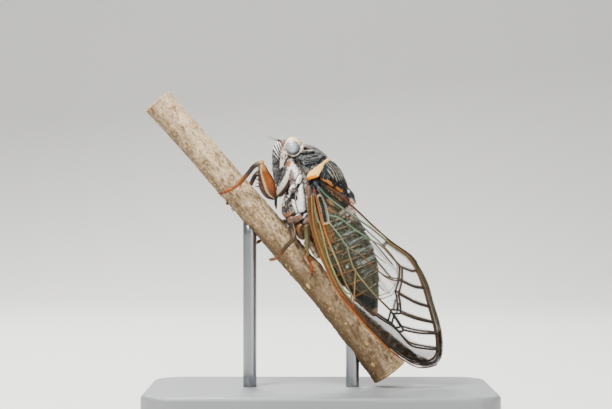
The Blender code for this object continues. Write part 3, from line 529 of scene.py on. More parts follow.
def geometry_tree(name, sockets):
    """A geometry tree with a geometry in and out and some named inputs."""
    tree = bpy.data.node_groups.new(name, "GeometryNodeTree")
    face = tree.interface
    face.new_socket("Geometry", in_out="INPUT", socket_type="NodeSocketGeometry")
    for label, kind in sockets.items():
        face.new_socket(label, in_out="INPUT", socket_type=kind)
    face.new_socket("Geometry", in_out="OUTPUT", socket_type="NodeSocketGeometry")
    return tree, tree.nodes.new("NodeGroupInput").outputs


def end_tree(tree, geometry, material):
    """Ends a geometry tree with plain, smooth geometry in one material."""
    plain = add(tree, "GeometryNodeRealizeInstances", {"Geometry": geometry}).outputs[0]
    soft = add(tree, "GeometryNodeSetShadeSmooth", {"Geometry": plain}).outputs[0]
    done = add(tree, "GeometryNodeSetMaterial", {"Geometry": soft, "Material": material}).outputs[0]
    tree.links.new(done, tree.nodes.new("NodeGroupOutput").inputs[0])


def run_tree(obj, tree, values):
    """Runs a geometry tree on an object with its named inputs set, and keeps the plain mesh it makes."""
    run = obj.modifiers.new(tree.name, "NODES")
    run.node_group = tree
    for item in tree.interface.items_tree:
        if item.in_out == "INPUT" and item.name in values:
            run[item.identifier] = values[item.name]
    settle(obj)


def make_tube_tree():
    """Round tubes along loose edges, as thick as their radius attribute says."""
    tree, given = geometry_tree("tubes", {"Sides": "NodeSocketInt", "Material": "NodeSocketMaterial"})
    line = add(tree, "GeometryNodeMeshToCurve", {"Mesh": given["Geometry"]}).outputs[0]
    thick = add(tree, "GeometryNodeInputNamedAttribute", {"Name": "radius"}).outputs[0]
    ring = add(tree, "GeometryNodeCurvePrimitiveCircle", {"Resolution": given["Sides"], "Radius": 1.0})
    links = {"Curve": line, "Profile Curve": ring.outputs[0], "Scale": thick, "Fill Caps": True}
    end_tree(tree, add(tree, "GeometryNodeCurveToMesh", links).outputs[0], given["Material"])
    return tree


# Real hairs are finer, and are drawn this thick so that they show.
HAIR_WIDTH = 0.018
HAIR_STRAY = 0.4
HAIR_RISE = 0.6
# A hair's patch on its piece's map lies where its root is, along the body and round its middle.
HAIR_PATCH = 0.003
MAP_START = -5.0
MAP_LENGTH = 45.0
MAP_MIDDLE = -1.5


def make_pile_tree():
    """Fine tapering hairs where the pile attribute is high, leaning the way they are told to lie."""
    sockets = {"Density": "NodeSocketFloat", "Length": "NodeSocketFloat", "Width": "NodeSocketFloat",
               "Lie": "NodeSocketVector", "Seed": "NodeSocketInt", "Material": "NodeSocketMaterial"}
    tree, given = geometry_tree("pile", sockets)
    cover = add(tree, "GeometryNodeInputNamedAttribute", {"Name": "pile"}).outputs[0]
    number = add(tree, "ShaderNodeMath", {0: cover, 1: given["Density"]}, operation="MULTIPLY").outputs[0]
    links = {"Mesh": given["Geometry"], "Density": number, "Seed": given["Seed"]}
    spots = add(tree, "GeometryNodeDistributePointsOnFaces", links)
    place_of = add(tree, "GeometryNodeInputPosition").outputs[0]
    links = {"Geometry": spots.outputs["Points"], "Name": "root", "Value": place_of}
    roots = add(tree, "GeometryNodeStoreNamedAttribute", links, data_type="FLOAT_VECTOR").outputs[0]
    links = {0: (-HAIR_STRAY,) * 3, 1: (HAIR_STRAY,) * 3}
    stray = add(tree, "FunctionNodeRandomValue", links, data_type="FLOAT_VECTOR").outputs[0]
    lean = add(tree, "ShaderNodeVectorMath", {0: given["Lie"], 1: stray}).outputs[0]
    links = {0: spots.outputs["Normal"], 1: (HAIR_RISE,) * 3, 2: lean}
    lean = add(tree, "ShaderNodeVectorMath", links, operation="MULTIPLY_ADD").outputs[0]
    turn = add(tree, "FunctionNodeAlignRotationToVector", {"Vector": lean}, axis="Z").outputs[0]
    links = {"Vertices": 3, "Radius Top": 0.0, "Radius Bottom": 1.0, "Depth": 1.0}
    hair = add(tree, "GeometryNodeMeshCone", links).outputs[0]
    vary = add(tree, "FunctionNodeRandomValue", {2: 0.5, 3: 1.2}).outputs[1]
    length = add(tree, "ShaderNodeMath", {0: vary, 1: given["Length"]}, operation="MULTIPLY").outputs[0]
    links = {"X": given["Width"], "Y": given["Width"], "Z": length}
    size = add(tree, "ShaderNodeCombineXYZ", links).outputs[0]
    links = {"Points": roots, "Instance": hair, "Rotation": turn, "Scale": size}
    end_tree(tree, add(tree, "GeometryNodeInstanceOnPoints", links).outputs[0], given["Material"])
    return tree


def grow_pile(obj, name, slot, cover, material, density, length, lie=(1.0, 0.0, 0.0)):
    """A piece of fine hairs on a form still in millimetres, as thick as cover says at each of its points."""
    coat = duplicate(obj, name)
    mask(coat, "pile", cover)
    values = {"Density": density, "Length": length, "Width": HAIR_WIDTH, "Lie": Vector(lie), "Seed": 3}
    run_tree(coat, PILE, values | {"Material": material})
    points, _ = read(coat)
    root = np.empty(points.size)
    coat.data.attributes["root"].data.foreach_get("vector", root)
    root = root.reshape(-1, 3)
    along = (root[:, 0] - MAP_START) / MAP_LENGTH
    around = 0.5 + np.arctan2(root[:, 2], root[:, 1] - MAP_MIDDLE) / (2 * math.pi)
    within = np.clip((points - root)[:, :2] / length, 0, 1)
    spot = np.stack([along, around], -1) + HAIR_PATCH * within
    corners = np.empty(len(coat.data.loops), int)
    coat.data.loops.foreach_get("vertex_index", corners)
    chart = coat.data.uv_layers.new(name="OFBake")
    chart.data.foreach_set("uv", spot[corners].astype(np.float32).ravel())
    place(coat, None, slot)


def tubes(name, runs, material, sides=8):
    """Round tubes in one mesh: each run is its points, its radii and its colours."""
    points, edges, radii, paints = [], [], [], []
    for line, radius, paint in runs:
        start = sum(len(block) for block in points)
        points.append(line)
        edges += [(start + k, start + k + 1) for k in range(len(line) - 1)]
        radii.append(radius)
        paints.append(paint)
    mesh = bpy.data.meshes.new(name)
    mesh.from_pydata(np.concatenate(points).tolist(), edges, [])
    mesh.attributes.new("radius", "FLOAT", "POINT").data.foreach_set("value", np.concatenate(radii))
    layer = mesh.attributes.new("paint", "FLOAT_COLOR", "POINT")
    layer.data.foreach_set("color", np.concatenate(paints).astype(np.float32).ravel())
    obj = link(name, mesh)
    run_tree(obj, TUBES, {"Sides": sides, "Material": material})
    return obj


def shades(hexes, share):
    """Colours read at some shares of the way along a row of hex colours."""
    stops = np.array([colour(value) for value in hexes])
    places = np.linspace(0, 1, len(stops))
    return np.stack([np.interp(share, places, stops[:, k]) for k in range(4)], -1)


TUBES = make_tube_tree()
PILE = make_pile_tree()
# Fine hair, soft and without shine: a silvery bloom on the body, and a dark fuzz on the legs.
SILVER_HAIR = two_toned("silver_hair", 1.0, "#d8d2c6", SLATE, {"Roughness": 0.6})
DARK_HAIR = two_toned("dark_hair", 1.0, "#4a3c30", SLATE, {"Roughness": 0.6})


# Head

HEAD_WAX = [
    ([(-0.9, -1.35), (0.5, -2.3), (1.6, -3.3)], 0.42),
    ([(-1.4, 1.0), (-1.75, 0.2)], 0.25),
    ([(1.3, -1.35), (2.6, -1.6)], 0.26),
    ([(0.8, -1.6), (1.3, -2.3)], 0.2),
    ([(3.0, -2.9), (4.0, -3.8), (4.8, -5.2), (5.3, -6.2)], 0.22),
]
HEAD_RUST = [
    ([(1.3, -1.7), (1.9, -2.7)], 0.12),
    ([(0.9, -1.5), (1.5, -2.5)], 0.08),
]
HEAD_ORANGE = [
    ([(-1.7, -0.75), (-1.1, -1.0)], 0.2),
    ([(-1.2, -1.5), (-0.8, -1.75)], 0.13),
    ([(1.7, -1.6), (2.4, -2.3)], 0.26),
]
HEAD_DARK = [
    ([(1.1, -1.8), (1.8, -2.8)], 0.09),
    ([(3.9, -6.1), (5.6, -7.1)], 0.35),
    ([(2.2, -3.4), (3.4, -4.9), (4.2, -5.9)], 0.16),
    ([(-1.8, -0.4), (-1.3, -0.6)], 0.07),
]
HEAD_TAN = [
    ([(4.3, -6.2), (5.2, -6.5)], 0.3),
    ([(-1.7, 0.8), (-1.2, 1.5), (-0.5, 2.0), (0.3, 2.1)], 0.34),
]
FACE_FURROWS = [
    [(0.2, -2.0), (1.8, -3.2), (4.0, -5.7)],
    [(1.0, -1.7), (1.9, -2.9)],
    [(2.9, -1.9), (3.8, -2.3), (4.6, -3.3), (5.2, -4.5)],
]


def head_grid():
    """The broad crown, in rounded sections from side to side."""
    reach = HEAD_ACROSS[-1][0]
    widths = np.linspace(-reach, reach, 60)
    mid_u, mid_v, half_u, half_v = (value[:, None] for value in columns(HEAD_ACROSS, np.abs(widths)))
    angle = turns(64)
    u = mid_u + half_u * np.cos(angle)
    v = mid_v + half_v * np.sin(angle)
    return grid_part(np.stack([u, v, np.broadcast_to(widths[:, None], u.shape)], -1))


def face_grid(rows, steps, sides, ridges=0, height=0.0):
    """A skin down the face through rows of front point, rear point and half width, ridged across in front."""
    at = np.linspace(0, len(rows) - 1, steps)
    table = [(index, *row) for index, row in enumerate(rows)]
    front_u, front_v, rear_u, rear_v, half = columns(table, at)
    front, rear = np.stack([front_u, front_v], -1), np.stack([rear_u, rear_v], -1)
    middle, arm = (front + rear) / 2, (front - rear) / 2
    angle = turns(sides)
    wave = 0.5 - 0.5 * np.cos(2 * math.pi * ridges * np.linspace(0, 1, steps) ** 0.8)
    facing = np.clip(np.cos(angle) * 1.2 + 0.5, 0, 1)[None, :]
    length = 1 + height * wave[:, None] * facing / np.linalg.norm(arm, axis=1)[:, None]
    spot = middle[:, None] + arm[:, None] * (np.cos(angle)[None, :] * length)[..., None]
    w = half[:, None] * np.sin(angle)[None, :] * (1 + (length - 1) * 0.5)
    return grid_part(np.concatenate([spot, w[..., None]], -1)), wave


def eye_socket(side, steps=60, sides=10):
    """The raised ring round an eye."""
    u, v, w = EYE
    around, across = turns(steps)[:, None], turns(sides)[None, :]
    ring = SOCKET_RADIUS + SOCKET_HALF * np.cos(across)
    deep = side * (w - 0.15) + 0.25 * np.broadcast_to(np.sin(across), (steps, sides))
    grid = np.stack([u + ring * np.cos(around), v + ring * np.sin(around), deep], -1)
    points, faces, paint = grid_part(grid, caps=False)
    first = np.arange(sides)
    last = first + (steps - 1) * sides
    faces += np.stack([last, np.roll(last, -1), np.roll(first, -1), first], -1).tolist()
    return points, faces, paint


def make_head():
    """The crown and face in one skin, with the rings round the eyes and the ledges over the feelers."""
    parts = [head_grid(), face_grid(FACE, 60, FACE_SIDES)[0]]
    parts += [eye_socket(side) for side, _ in SIDES]
    parts += [ball((LEDGE[0], LEDGE[1], side * LEDGE[2]), LEDGE_SIZE) for side, _ in SIDES]
    head = assemble("head_capsule", parts)
    fuse(head, voxel=0.11, rounds=3)
    relief(head, lambda points: 0.05 * rough(points, 0.5) + 0.03 * rough(points, 0.2, 7.0)
           - 0.16 * dent(side_view(points), FACE_FURROWS, 0.14))
    points, _ = read(head)
    flat = side_view(points)
    off = flat - np.array(EYE[:2])
    from_eye = np.linalg.norm(off, axis=1)
    outer = np.abs(points[:, 2]) > 3.2
    behind_eye = (from_eye < 1.36) * (off[:, 0] > 0.25) * outer
    mask(head, "wax", marked(flat, HEAD_WAX) * (0.8 + 0.6 * rough(points, 0.35, 2.0)))
    mask(head, "rust", marked(flat, HEAD_RUST) * 0.8)
    mask(head, "orange", marked(flat, HEAD_ORANGE) * 0.9)
    mask(head, "dark", np.maximum(marked(flat, HEAD_DARK), behind_eye))
    mask(head, "tan", marked(flat, HEAD_TAN))
    mask(head, "socket", (1.2 - np.abs(from_eye - PALE_RING) / 0.24) * outer)
    layers = [
        ("wax", "#ddd0c4", 0.14), ("tan", CREAM, 0.14), ("orange", "#a05a24", 0.16), ("rust", RUST, 0.16),
        ("socket", "#d2c4ac", 0.12), ("dark", INK, 0.12),
    ]
    # Black shell dusted with wax: dull grey, with pale drifts where the wax lies thick.
    look = shell("powdered_black_chitin", "#34363a", "#8b8a88", layers, roughness=0.6, grain=0.25, bump=0.05)
    cover = (from_eye > 1.7) * 1.0
    grow_pile(head, "head_hair", "head", cover, SILVER_HAIR, density=9.0, length=0.35, lie=(0.2, -0.5, 0.0))
    place(head, look, "head", "head")


def make_nose():
    """The bulging front of the face, ridged across."""
    part, wave = face_grid(NOSE, 300, FACE_SIDES, NOSE_RIDGES, 0.1)
    nose = assemble("nose", [part])
    points, _ = read(nose)
    rib = np.repeat(wave, FACE_SIDES)
    high = ramp(points[:, 1], -4.0, -2.8)
    mask(nose, "ridge", (1 - rib) * (0.35 + 0.65 * high))
    mask(nose, "pale", rib * (0.1 + 0.72 * high))
    relief(nose, lambda points: 0.02 * rough(points, 0.3))
    # Thick ribbed shell: pale ribs with a soft shine, parted by black furrows.
    layers = [("pale", BLOOM, 0.2), ("ridge", INK, 0.15)]
    look = shell("ridged_face_chitin", INK, "#6f6f6c", layers, roughness=0.45, grain=0.25)
    place(nose, look, "head", "head")


# An eye's facets are really about 0.03 mm across, and are drawn coarser so that they show.
FACET = 0.07


def make_eyes():
    """Compound eyes, pale and filmed over, with fine facets."""
    # Thousands of small clear lenses over a milky ground: pale grey, with a wet but broken shine.
    material, tree, shader, where = new_material("compound_eye")
    facets = add(tree, "ShaderNodeTexVoronoi", {"Vector": where, "Scale": 1 / (FACET * MM)})
    cloud = add(tree, "ShaderNodeTexNoise", patches(where, 0.9, 2.0)).outputs["Fac"]
    paint = blend(tree, cloud, 0.35, 0.65, colour("#7b848b"), colour("#a7abae"))
    # The rim mask is painted shade: the eye turns darker towards its edge.
    rim = add(tree, "ShaderNodeAttribute", attribute_name="rim").outputs["Fac"]
    paint = blend(tree, rim, 0.3, 0.9, paint, colour("#4c565e"))
    bump = add(tree, "ShaderNodeBump", {"Height": facets.outputs["Distance"], "Distance": 0.01 * MM})
    fill(tree, shader, {"Base Color": paint, "Roughness": 0.28, "Coat Weight": 0.3, "Subsurface Weight": 0.15,
                        "Subsurface Scale": 0.3 * MM, "Normal": bump.outputs["Normal"]})
    u, v, w = EYE
    for side, hand in SIDES:
        eye = assemble("eye_ball_" + hand, [ball((u, v, side * w), EYE_SIZE, 96, 64)])
        points, _ = read(eye)
        off = np.linalg.norm(side_view(points) - np.array([-0.15, 0.2]), axis=1)
        # Painted shade: the eye darkens towards its edge, most at its rear and lower side, away from the
        # light.
        mask(eye, "rim", (off - 0.8) / 0.4)
        place(eye, material, "eye", "eye_" + hand)


def make_ocelli():
    """Three small simple eyes on the crown."""
    # Domed lenses over red: like beads of dark red glass, each with one sharp glint.
    glass = two_toned("ocellus", 0.2, "#5a1208", "#b4452a", {"Roughness": 0.12, "Coat Weight": 0.6})
    place(assemble("ocelli", [ball(spot, (0.24, 0.2, 0.24), 24, 16) for spot in OCELLI]), glass, "eye")


# The stout foot of a feeler, its neck, and where its thin segments start.
FEELER_FOOT = [((-1.7, -0.75, 3.15), 0.3), ((-2.3, -1.1, 3.5), 0.27)]
FEELER_NECK = [((-2.25, -1.05, 3.48), 0.2), ((-2.75, -1.4, 3.8), 0.15)]
BRISTLE_START = (-2.7, -1.36, 3.76)
BRISTLE_SEGMENTS = 5


def make_feelers():
    """Bristle feelers: a stout foot, then segments that thin out to a hair."""
    # Smooth dark shell: near black, with a narrow shine along each segment.
    material = painted("feeler_chitin", 0.35)
    segments = []
    last, thick = np.array(BRISTLE_START), 0.075
    for number in range(BRISTLE_SEGMENTS):
        step = np.array((-0.26 - 0.03 * number, -0.22 - 0.02 * number, 0.2))
        segments.append([(last, thick), (last + step, thick * 0.8)])
        last, thick = last + step * 0.93, thick * 0.8
    for side, hand in SIDES:
        parts = [limb(mirrored(FEELER_FOOT, side), 20, 14, [UMBER, RUST])]
        parts.append(limb(mirrored(FEELER_NECK, side), 18, 12, [INK]))
        parts += [limb(mirrored(segment, side), 12, 10, [INK]) for segment in segments]
        feeler = assemble("feeler_" + hand, parts, coloured=True)
        place(feeler, material, "feeler", "antenna_" + hand)


BEAK_ROOT = [((4.6, -6.1, 0.0), 0.42), ((5.9, -7.15, 0.0), 0.42), ((6.3, -7.5, 0.0), 0.36)]
BEAK_TIP = [((6.15, -7.4, 0.0), 0.3), ((7.1, -8.0, 0.0), 0.26), ((7.85, -8.35, 0.0), 0.14)]


def make_beak():
    """The sucking beak: a jointed dark tube with a tan tip."""
    parts = [limb(BEAK_ROOT, 24, 26, [UMBER, INK]), limb(BEAK_TIP, 20, 24, [INK, INK, UMBER, TAN])]
    beak = assemble("beak", parts, coloured=True)
    # Hard smooth shell: dark, with a long soft highlight.
    place(beak, painted("beak_chitin", 0.3), "head", "rostrum")


# Thorax

PRONOTUM_GROOVES = [
    [(1.3, 1.9), (2.0, 3.2)],
    [(2.1, 1.1), (2.4, 2.0), (2.8, 3.0), (3.6, 3.9)],
    [(1.7, 0.4), (1.9, 1.4), (2.3, 2.6)],
    [(2.6, -0.5), (3.1, 0.7), (3.8, 1.9), (4.3, 3.1)],
    [(3.6, -0.7), (4.0, 0.3), (4.8, 0.9)],
]
PRONOTUM_PALE = [
    ([(0.6, 2.15), (1.2, 2.65), (1.8, 3.2)], 0.34),
    ([(4.5, -0.4), (5.0, 0.2)], 0.36),
    ([(2.5, -0.6), (2.9, -0.5)], 0.22),
]
PRONOTUM_LINE = [
    ([(0.2, 2.0), (0.9, 1.75), (1.4, 1.1)], 0.12),
    ([(0.1, 2.15), (0.7, 2.75), (1.45, 3.4)], 0.1),
    ([(1.3, 1.75), (1.9, 2.3), (2.35, 3.2)], 0.07),
]
# How wide its pale collar is at each height: (v, width).
COLLAR_WIDTH = [
    (-1.2, 0.4), (-0.2, 0.8), (0.4, 1.3), (1.2, 1.5), (2.0, 1.08), (3.0, 0.72), (4.2, 0.5), (5.0, 0.45),
]
PRONOTUM_DARK = [
    ([(4.5, 4.2), (4.7, 3.0), (4.6, 1.8), (4.1, 0.6)], 0.3),
    ([(1.9, 1.1), (2.3, 2.0), (2.8, 3.0)], 0.24),
    ([(1.0, 1.85), (1.6, 2.3), (2.1, 3.2), (2.2, 3.8)], 0.14),
    ([(2.9, 1.2), (3.4, 2.4), (3.6, 3.4)], 0.1),
    ([(3.5, 0.6), (4.0, 1.6), (4.2, 2.6)], 0.1),
    ([(2.6, -0.1), (3.5, 0.0)], 0.26),
    ([(1.55, 1.0), (1.75, -0.4)], 0.14),
]
PRONOTUM_SPOT = [([(5.55, -0.4), (5.8, -0.6)], 0.24)]


def collar_share(flat):
    """How far each place lies inside the pronotum's collar: 0.5 at its front border."""
    to_edge = smooth(PRONOTUM_BACK, flat[:, 1]) - flat[:, 0]
    return 0.5 + (smooth(COLLAR_WIDTH, flat[:, 1]) - to_edge) / 0.4


def make_pronotum():
    """The shield behind the head: dark, furrowed, and edged with a broad pale collar."""
    shield = round_form("pronotum_shield", PRONOTUM, 130, 260, (PRONOTUM_FRONT, PRONOTUM_BACK))

    def height(points):
        flat = side_view(points)
        collar = np.clip(collar_share(flat) - 0.3, 0, 0.5) * 2
        furrows = 0.26 * dent(flat, PRONOTUM_GROOVES, 0.16)
        wrinkles = 0.06 * rough(points * (1.0, 0.45, 0.5), 0.35) + 0.035 * rough(points, 0.2, 3.0)
        plain = np.clip(2 * marked(flat, PRONOTUM_PALE[:1]) - 0.5, 0, 1)
        return 0.18 * collar + 0.1 * plain - (furrows - wrinkles) * (1 - 0.8 * collar) * (1 - 0.9 * plain)

    points, _ = read(shield)
    flat = side_view(points)
    loose = ragged(points, 0.14, 0.5)
    collar = collar_share(flat)
    to_edge = smooth(PRONOTUM_BACK, flat[:, 1]) - flat[:, 0]
    from_eye = np.linalg.norm(flat - np.array(EYE[:2]), axis=1)
    aside = ramp(np.abs(points[:, 2]), 1.8, 2.6)
    eye_line = 1.1 - np.abs(from_eye - PALE_RING) / 0.2
    mask(shield, "pale", marked(loose, PRONOTUM_PALE) * aside)
    mask(shield, "line", np.maximum(marked(loose, PRONOTUM_LINE) * aside, eye_line))
    mask(shield, "dark", np.maximum(marked(loose, PRONOTUM_DARK), from_eye < 1.38))
    mask(shield, "spot", marked(flat, PRONOTUM_SPOT))
    mask(shield, "collar", collar)
    mask(shield, "orange", ramp(to_edge, 0.84, 0.0) * ramp(flat[:, 1], 1.35, 1.05))
    relief(shield, height)
    layers = [
        ("dark", INK, 0.14), ("pale", "#5a504a", 0.1), ("line", "#c4b59a", 0.2), ("collar", "#ecb766", 0.07),
        ("orange", "#c26a00", 0.12), ("spot", INK, 0.1),
    ]
    # Leathery furrowed shell: dull near black, broken by folds, with a smooth cream collar.
    look = shell("furrowed_chitin", "#292b2c", "#6c6d6a", layers, roughness=0.55, grain=0.16, bump=0.04,
                 gloss=0.1)
    bare = marked(flat, PRONOTUM_DARK) + marked(flat, PRONOTUM_PALE)
    cover = np.clip(1 - collar - bare, 0.03, 1)
    grow_pile(shield, "pronotum_hair", "pronotum", cover, SILVER_HAIR, density=4.5, length=0.24)
    place(shield, look, "pronotum", "pronotum")


MESONOTUM_ORANGE = [
    ([(7.5, 1.4), (8.3, 1.95), (8.8, 2.3)], 0.16),
    ([(8.6, 2.25), (9.2, 2.5), (9.7, 2.5)], 0.26),
    ([(10.5, 3.1), (11.4, 3.5)], 0.3),
]
MESONOTUM_CREAM = [([(10.2, 5.3), (11.6, 5.1)], 0.14)]
MESONOTUM_DARK = [
    ([(8.7, 3.0), (9.6, 3.4), (10.6, 4.2), (11.6, 4.3)], 0.45),
    ([(5.6, 4.6), (7.0, 5.3)], 0.2),
]
MESONOTUM_FROST = [([(6.2, 3.3), (6.9, 2.5)], 0.55)]
# Its stripes of down are really about 0.2 mm apart, and are drawn about 0.7 mm apart so that they show.
STRIPES = 46


def make_mesonotum():
    """The big rounded back plate: black under short grey down, with orange flanks."""
    plate = round_form("mesonotum_plate", MESONOTUM, 120, 440)
    points, _ = read(plate)
    flat = side_view(points)
    round_back = np.arctan2(points[:, 1] - 1.0, points[:, 2])
    stripe = np.sin(STRIPES * round_back + 2.5 * rough(points, 2.0, 8.0) + 1.2 * rough(points, 0.5, 3.0))
    crown = ramp(points[:, 1], 2.2, 3.4) * ramp(points[:, 0], 10.6, 9.0)
    mask(plate, "striae", (0.14 + 0.66 * stripe + 0.2 * rough(points, 0.4, 11.0)) * crown)
    mask(plate, "orange", marked(ragged(points, 0.2, 0.7), MESONOTUM_ORANGE))
    mask(plate, "cream", marked(flat, MESONOTUM_CREAM) * (np.abs(points[:, 2]) < 0.45))
    mark_up(plate, flat, {"dark": MESONOTUM_DARK, "frost": MESONOTUM_FROST})

    def height(points):
        swollen = ramp(marked(side_view(points), MESONOTUM_ORANGE), 0.4, 0.6)
        return 0.05 * rough(points, 0.6) + 0.03 * rough(points, 0.22, 5.0) + 0.06 * swollen

    relief(plate, height)
    layers = [
        ("striae", "#8a8474", 0.22), ("frost", "#1d252b", 0.3), ("dark", INK, 0.2),
        ("orange", "#a0622a", 0.2), ("cream", CREAM, 0.1),
    ]
    # Black shell under short grey down: deep black with a soft bloom and hardly any shine.
    look = shell("downy_black_chitin", INK, "#303130", layers, roughness=0.6, grain=0.16, bump=0.05,
                 gloss=0.12)
    cover = np.clip(1.1 - marked(flat, MESONOTUM_ORANGE), 0, 1)
    grow_pile(plate, "mesonotum_hair", "mesonotum", cover, SILVER_HAIR, density=5.0, length=0.28,
              lie=(1.2, -0.4, 0.0))
    place(plate, look, "mesonotum", "mesonotum")


# The raised cross: its two humps, its middle, and the ends of its arms.
CREST_HUMPS = [((12.9, 4.35, 0.0), (1.5, 0.95, 1.25)), ((12.7, 4.85, 0.0), (1.3, 0.4, 0.35))]
CREST_MIDDLE = ((12.9, 4.55, 0.0), 0.6)
CREST_ARMS = [((11.7, 4.6, 1.8), 0.45), ((14.3, 4.2, 1.7), 0.45)]
CREST_TAIL = [((12.9, 4.5, 0.0), 0.6), ((14.9, 4.45, 0.0), 0.45)]
CREST_MARKS = {
    "pale": [([(11.9, 3.6), (12.15, 4.6)], 0.26)],
    "peach": [([(13.5, 3.8), (14.4, 4.2), (15.0, 4.5)], 0.42), ([(13.2, 3.6), (14.4, 3.6)], 0.2)],
}


def make_crest():
    """The raised cross behind the back plate."""
    parts = [ball(middle, size) for middle, size in CREST_HUMPS]
    for side, _ in SIDES:
        parts += [limb([CREST_MIDDLE, end], 24, 20) for end in mirrored(CREST_ARMS, side)]
    parts.append(limb(CREST_TAIL, 24, 20))
    crest = assemble("crest", parts)
    fuse(crest, voxel=0.1, rounds=4)
    relief(crest, lambda points: 0.04 * rough(points, 0.4))
    mark_up(crest, side_view(read(crest)[0]), CREST_MARKS)
    # Thick polished shell: dark, with a low shine on its humps and flesh-coloured marks.
    layers = [("pale", BLOOM, 0.16), ("peach", "#bd9480", 0.2)]
    place(crest, shell("crest_chitin", INK, SLATE, layers, bump=0.04), "scutellum", "scutellum")


THORAX_GROOVES = [
    [(5.9, -1.3), (6.5, -2.6), (7.3, -4.2), (7.6, -6.2)],
    [(6.4, -1.6), (8.6, -2.5), (11.4, -3.9)],
    [(7.9, -4.5), (9.2, -4.95), (10.6, -5.4)],
    [(11.2, -3.9), (10.7, -5.4), (10.3, -7.6)],
    [(11.9, -4.2), (12.3, -5.8), (12.1, -7.6)],
    [(4.6, -1.3), (5.4, -2.8), (6.6, -3.4)],
]
THORAX_BULGES = [
    ([(8.2, -6.4), (9.3, -7.0)], 1.2, 0.3),
    ([(11.4, -6.4), (11.3, -7.0)], 0.7, 0.3),
    ([(8.0, -3.1), (10.2, -4.3)], 0.9, 0.25),
    ([(6.4, -4.0), (6.7, -4.9)], 0.6, 0.25),
    ([(5.2, -1.9), (6.0, -2.4)], 0.5, 0.2),
    ([(12.9, -5.2), (13.0, -6.4)], 0.6, 0.2),
]
THORAX_WHITE = [
    ([(1.6, -1.4), (3.8, -1.6), (5.2, -1.9), (5.8, -2.4)], 0.5),
    ([(2.6, -2.1), (3.4, -2.9)], 0.28),
    ([(6.9, -2.4), (8.3, -3.2)], 0.4),
    ([(8.6, -3.4), (9.6, -4.0), (10.4, -4.4)], 0.78),
    ([(7.9, -4.7), (9.4, -5.2), (10.8, -5.5)], 0.2),
    ([(5.9, -3.4), (6.3, -4.0)], 0.2),
    ([(6.6, -4.5), (7.0, -5.1)], 0.16),
    ([(7.3, -5.8), (8.1, -6.9)], 0.2),
    ([(11.5, -4.4), (11.9, -4.9)], 0.22),
]
THORAX_DARK = [
    ([(7.1, -3.25), (7.4, -3.4)], 0.22),
    ([(7.4, -4.2), (7.9, -5.4)], 0.34),
    ([(7.9, -3.9), (8.5, -4.3)], 0.12),
    ([(6.25, -2.4), (6.55, -2.9)], 0.2),
    ([(7.9, -4.45), (9.5, -4.95)], 0.1),
    ([(5.6, -3.9), (6.0, -4.2)], 0.14),
    ([(6.5, -4.6), (6.8, -5.1)], 0.12),
    ([(11.1, -4.0), (11.3, -4.9)], 0.24),
    ([(12.2, -5.6), (12.9, -5.8)], 0.2),
    ([(10.3, -5.7), (10.3, -6.6)], 0.14),
    ([(12.6, -7.0), (13.4, -6.4)], 0.3),
    ([(7.0, 0.6), (8.2, 0.2), (10.0, 0.9), (14.0, 2.6)], 1.3),
    ([(9.4, -0.4), (14.4, 0.8)], 1.1),
]
THORAX_ORANGE = [
    ([(1.7, -1.6), (2.3, -2.2)], 0.22),
    ([(9.8, -7.5), (9.9, -6.2)], 0.2),
    ([(11.5, -5.3), (11.2, -5.8)], 0.2),
    ([(12.1, -6.2), (12.6, -6.8)], 0.26),
    ([(12.4, -4.5), (12.8, -4.9)], 0.2),
]
THORAX_TAN = [
    ([(11.4, 0.5), (12.6, 1.0)], 0.26),
    ([(13.0, -0.2), (14.4, 0.6)], 0.3),
    ([(10.2, 1.6), (12.8, 2.6)], 0.12),
]
THORAX_ROSE = [
    ([(4.6, -1.8), (5.6, -2.6)], 0.22),
    ([(2.2, -2.3), (2.8, -3.1)], 0.12),
    ([(3.3, -2.1), (4.6, -3.1)], 0.16),
    ([(7.3, -6.3), (8.3, -7.3), (9.4, -7.9)], 0.24),
    ([(10.9, -6.4), (11.4, -7.6)], 0.45),
    ([(8.2, -3.7), (8.9, -4.1)], 0.14),
]
# The marks that come and go, as wax and colour do on a worn skin.
THORAX_PATCHES = {"white": THORAX_WHITE, "orange": THORAX_ORANGE, "rose": THORAX_ROSE, "tan": THORAX_TAN}


def make_thorax():
    """The flanks and breast: plates powdered with white wax, parted by dark seams."""
    trunk = round_form("thorax_flanks", THORAX, 190, 240)
    points, _ = read(trunk)
    flat = side_view(points)
    loose = ragged(points)
    # Only wear here: the wax and colour marks thin out and thicken at random.
    wear_and_light = 0.92 + 0.45 * rough(points, 0.4, 4.0)
    for name, marks in THORAX_PATCHES.items():
        mask(trunk, name, marked(loose, marks) * wear_and_light)
    mask(trunk, "dark", marked(loose, THORAX_DARK))
    mask(trunk, "seam", 0.75 * dent(flat, THORAX_GROOVES, 0.16))

    def height(points):
        flat = side_view(points)
        lift = -0.3 * dent(flat, THORAX_GROOVES, 0.16)
        for line, half, tall in THORAX_BULGES:
            lift = lift + tall * np.clip(1 - (away(flat, line) / half) ** 2, 0, 1)
        return lift + 0.06 * rough(points, 0.6) + 0.03 * rough(points, 0.22, 9.0)

    relief(trunk, height)
    layers = [
        ("rose", "#6d4440", 0.3), ("white", "#f3ece6", 0.34), ("orange", "#9a5c2c", 0.35),
        ("seam", "#21150e", 0.3), ("dark", INK, 0.2), ("tan", "#8a5a34", 0.2),
    ]
    # Brown-black shell under flaking white wax: chalky and matt, with frayed borders.
    look = shell("waxed_flank_chitin", "#1e1917", "#8c847d", layers, roughness=0.65, grain=0.22, bump=0.06)
    cover = (flat[:, 1] < 0) * np.clip(1 - marked(flat, THORAX_DARK) * 1.5, 0, 1)
    grow_pile(trunk, "thorax_hair", "thorax", cover, SILVER_HAIR, density=4.0, length=0.4,
              lie=(0.6, -0.6, 0.0))
    place(trunk, look, "thorax", "thorax")


# Abdomen

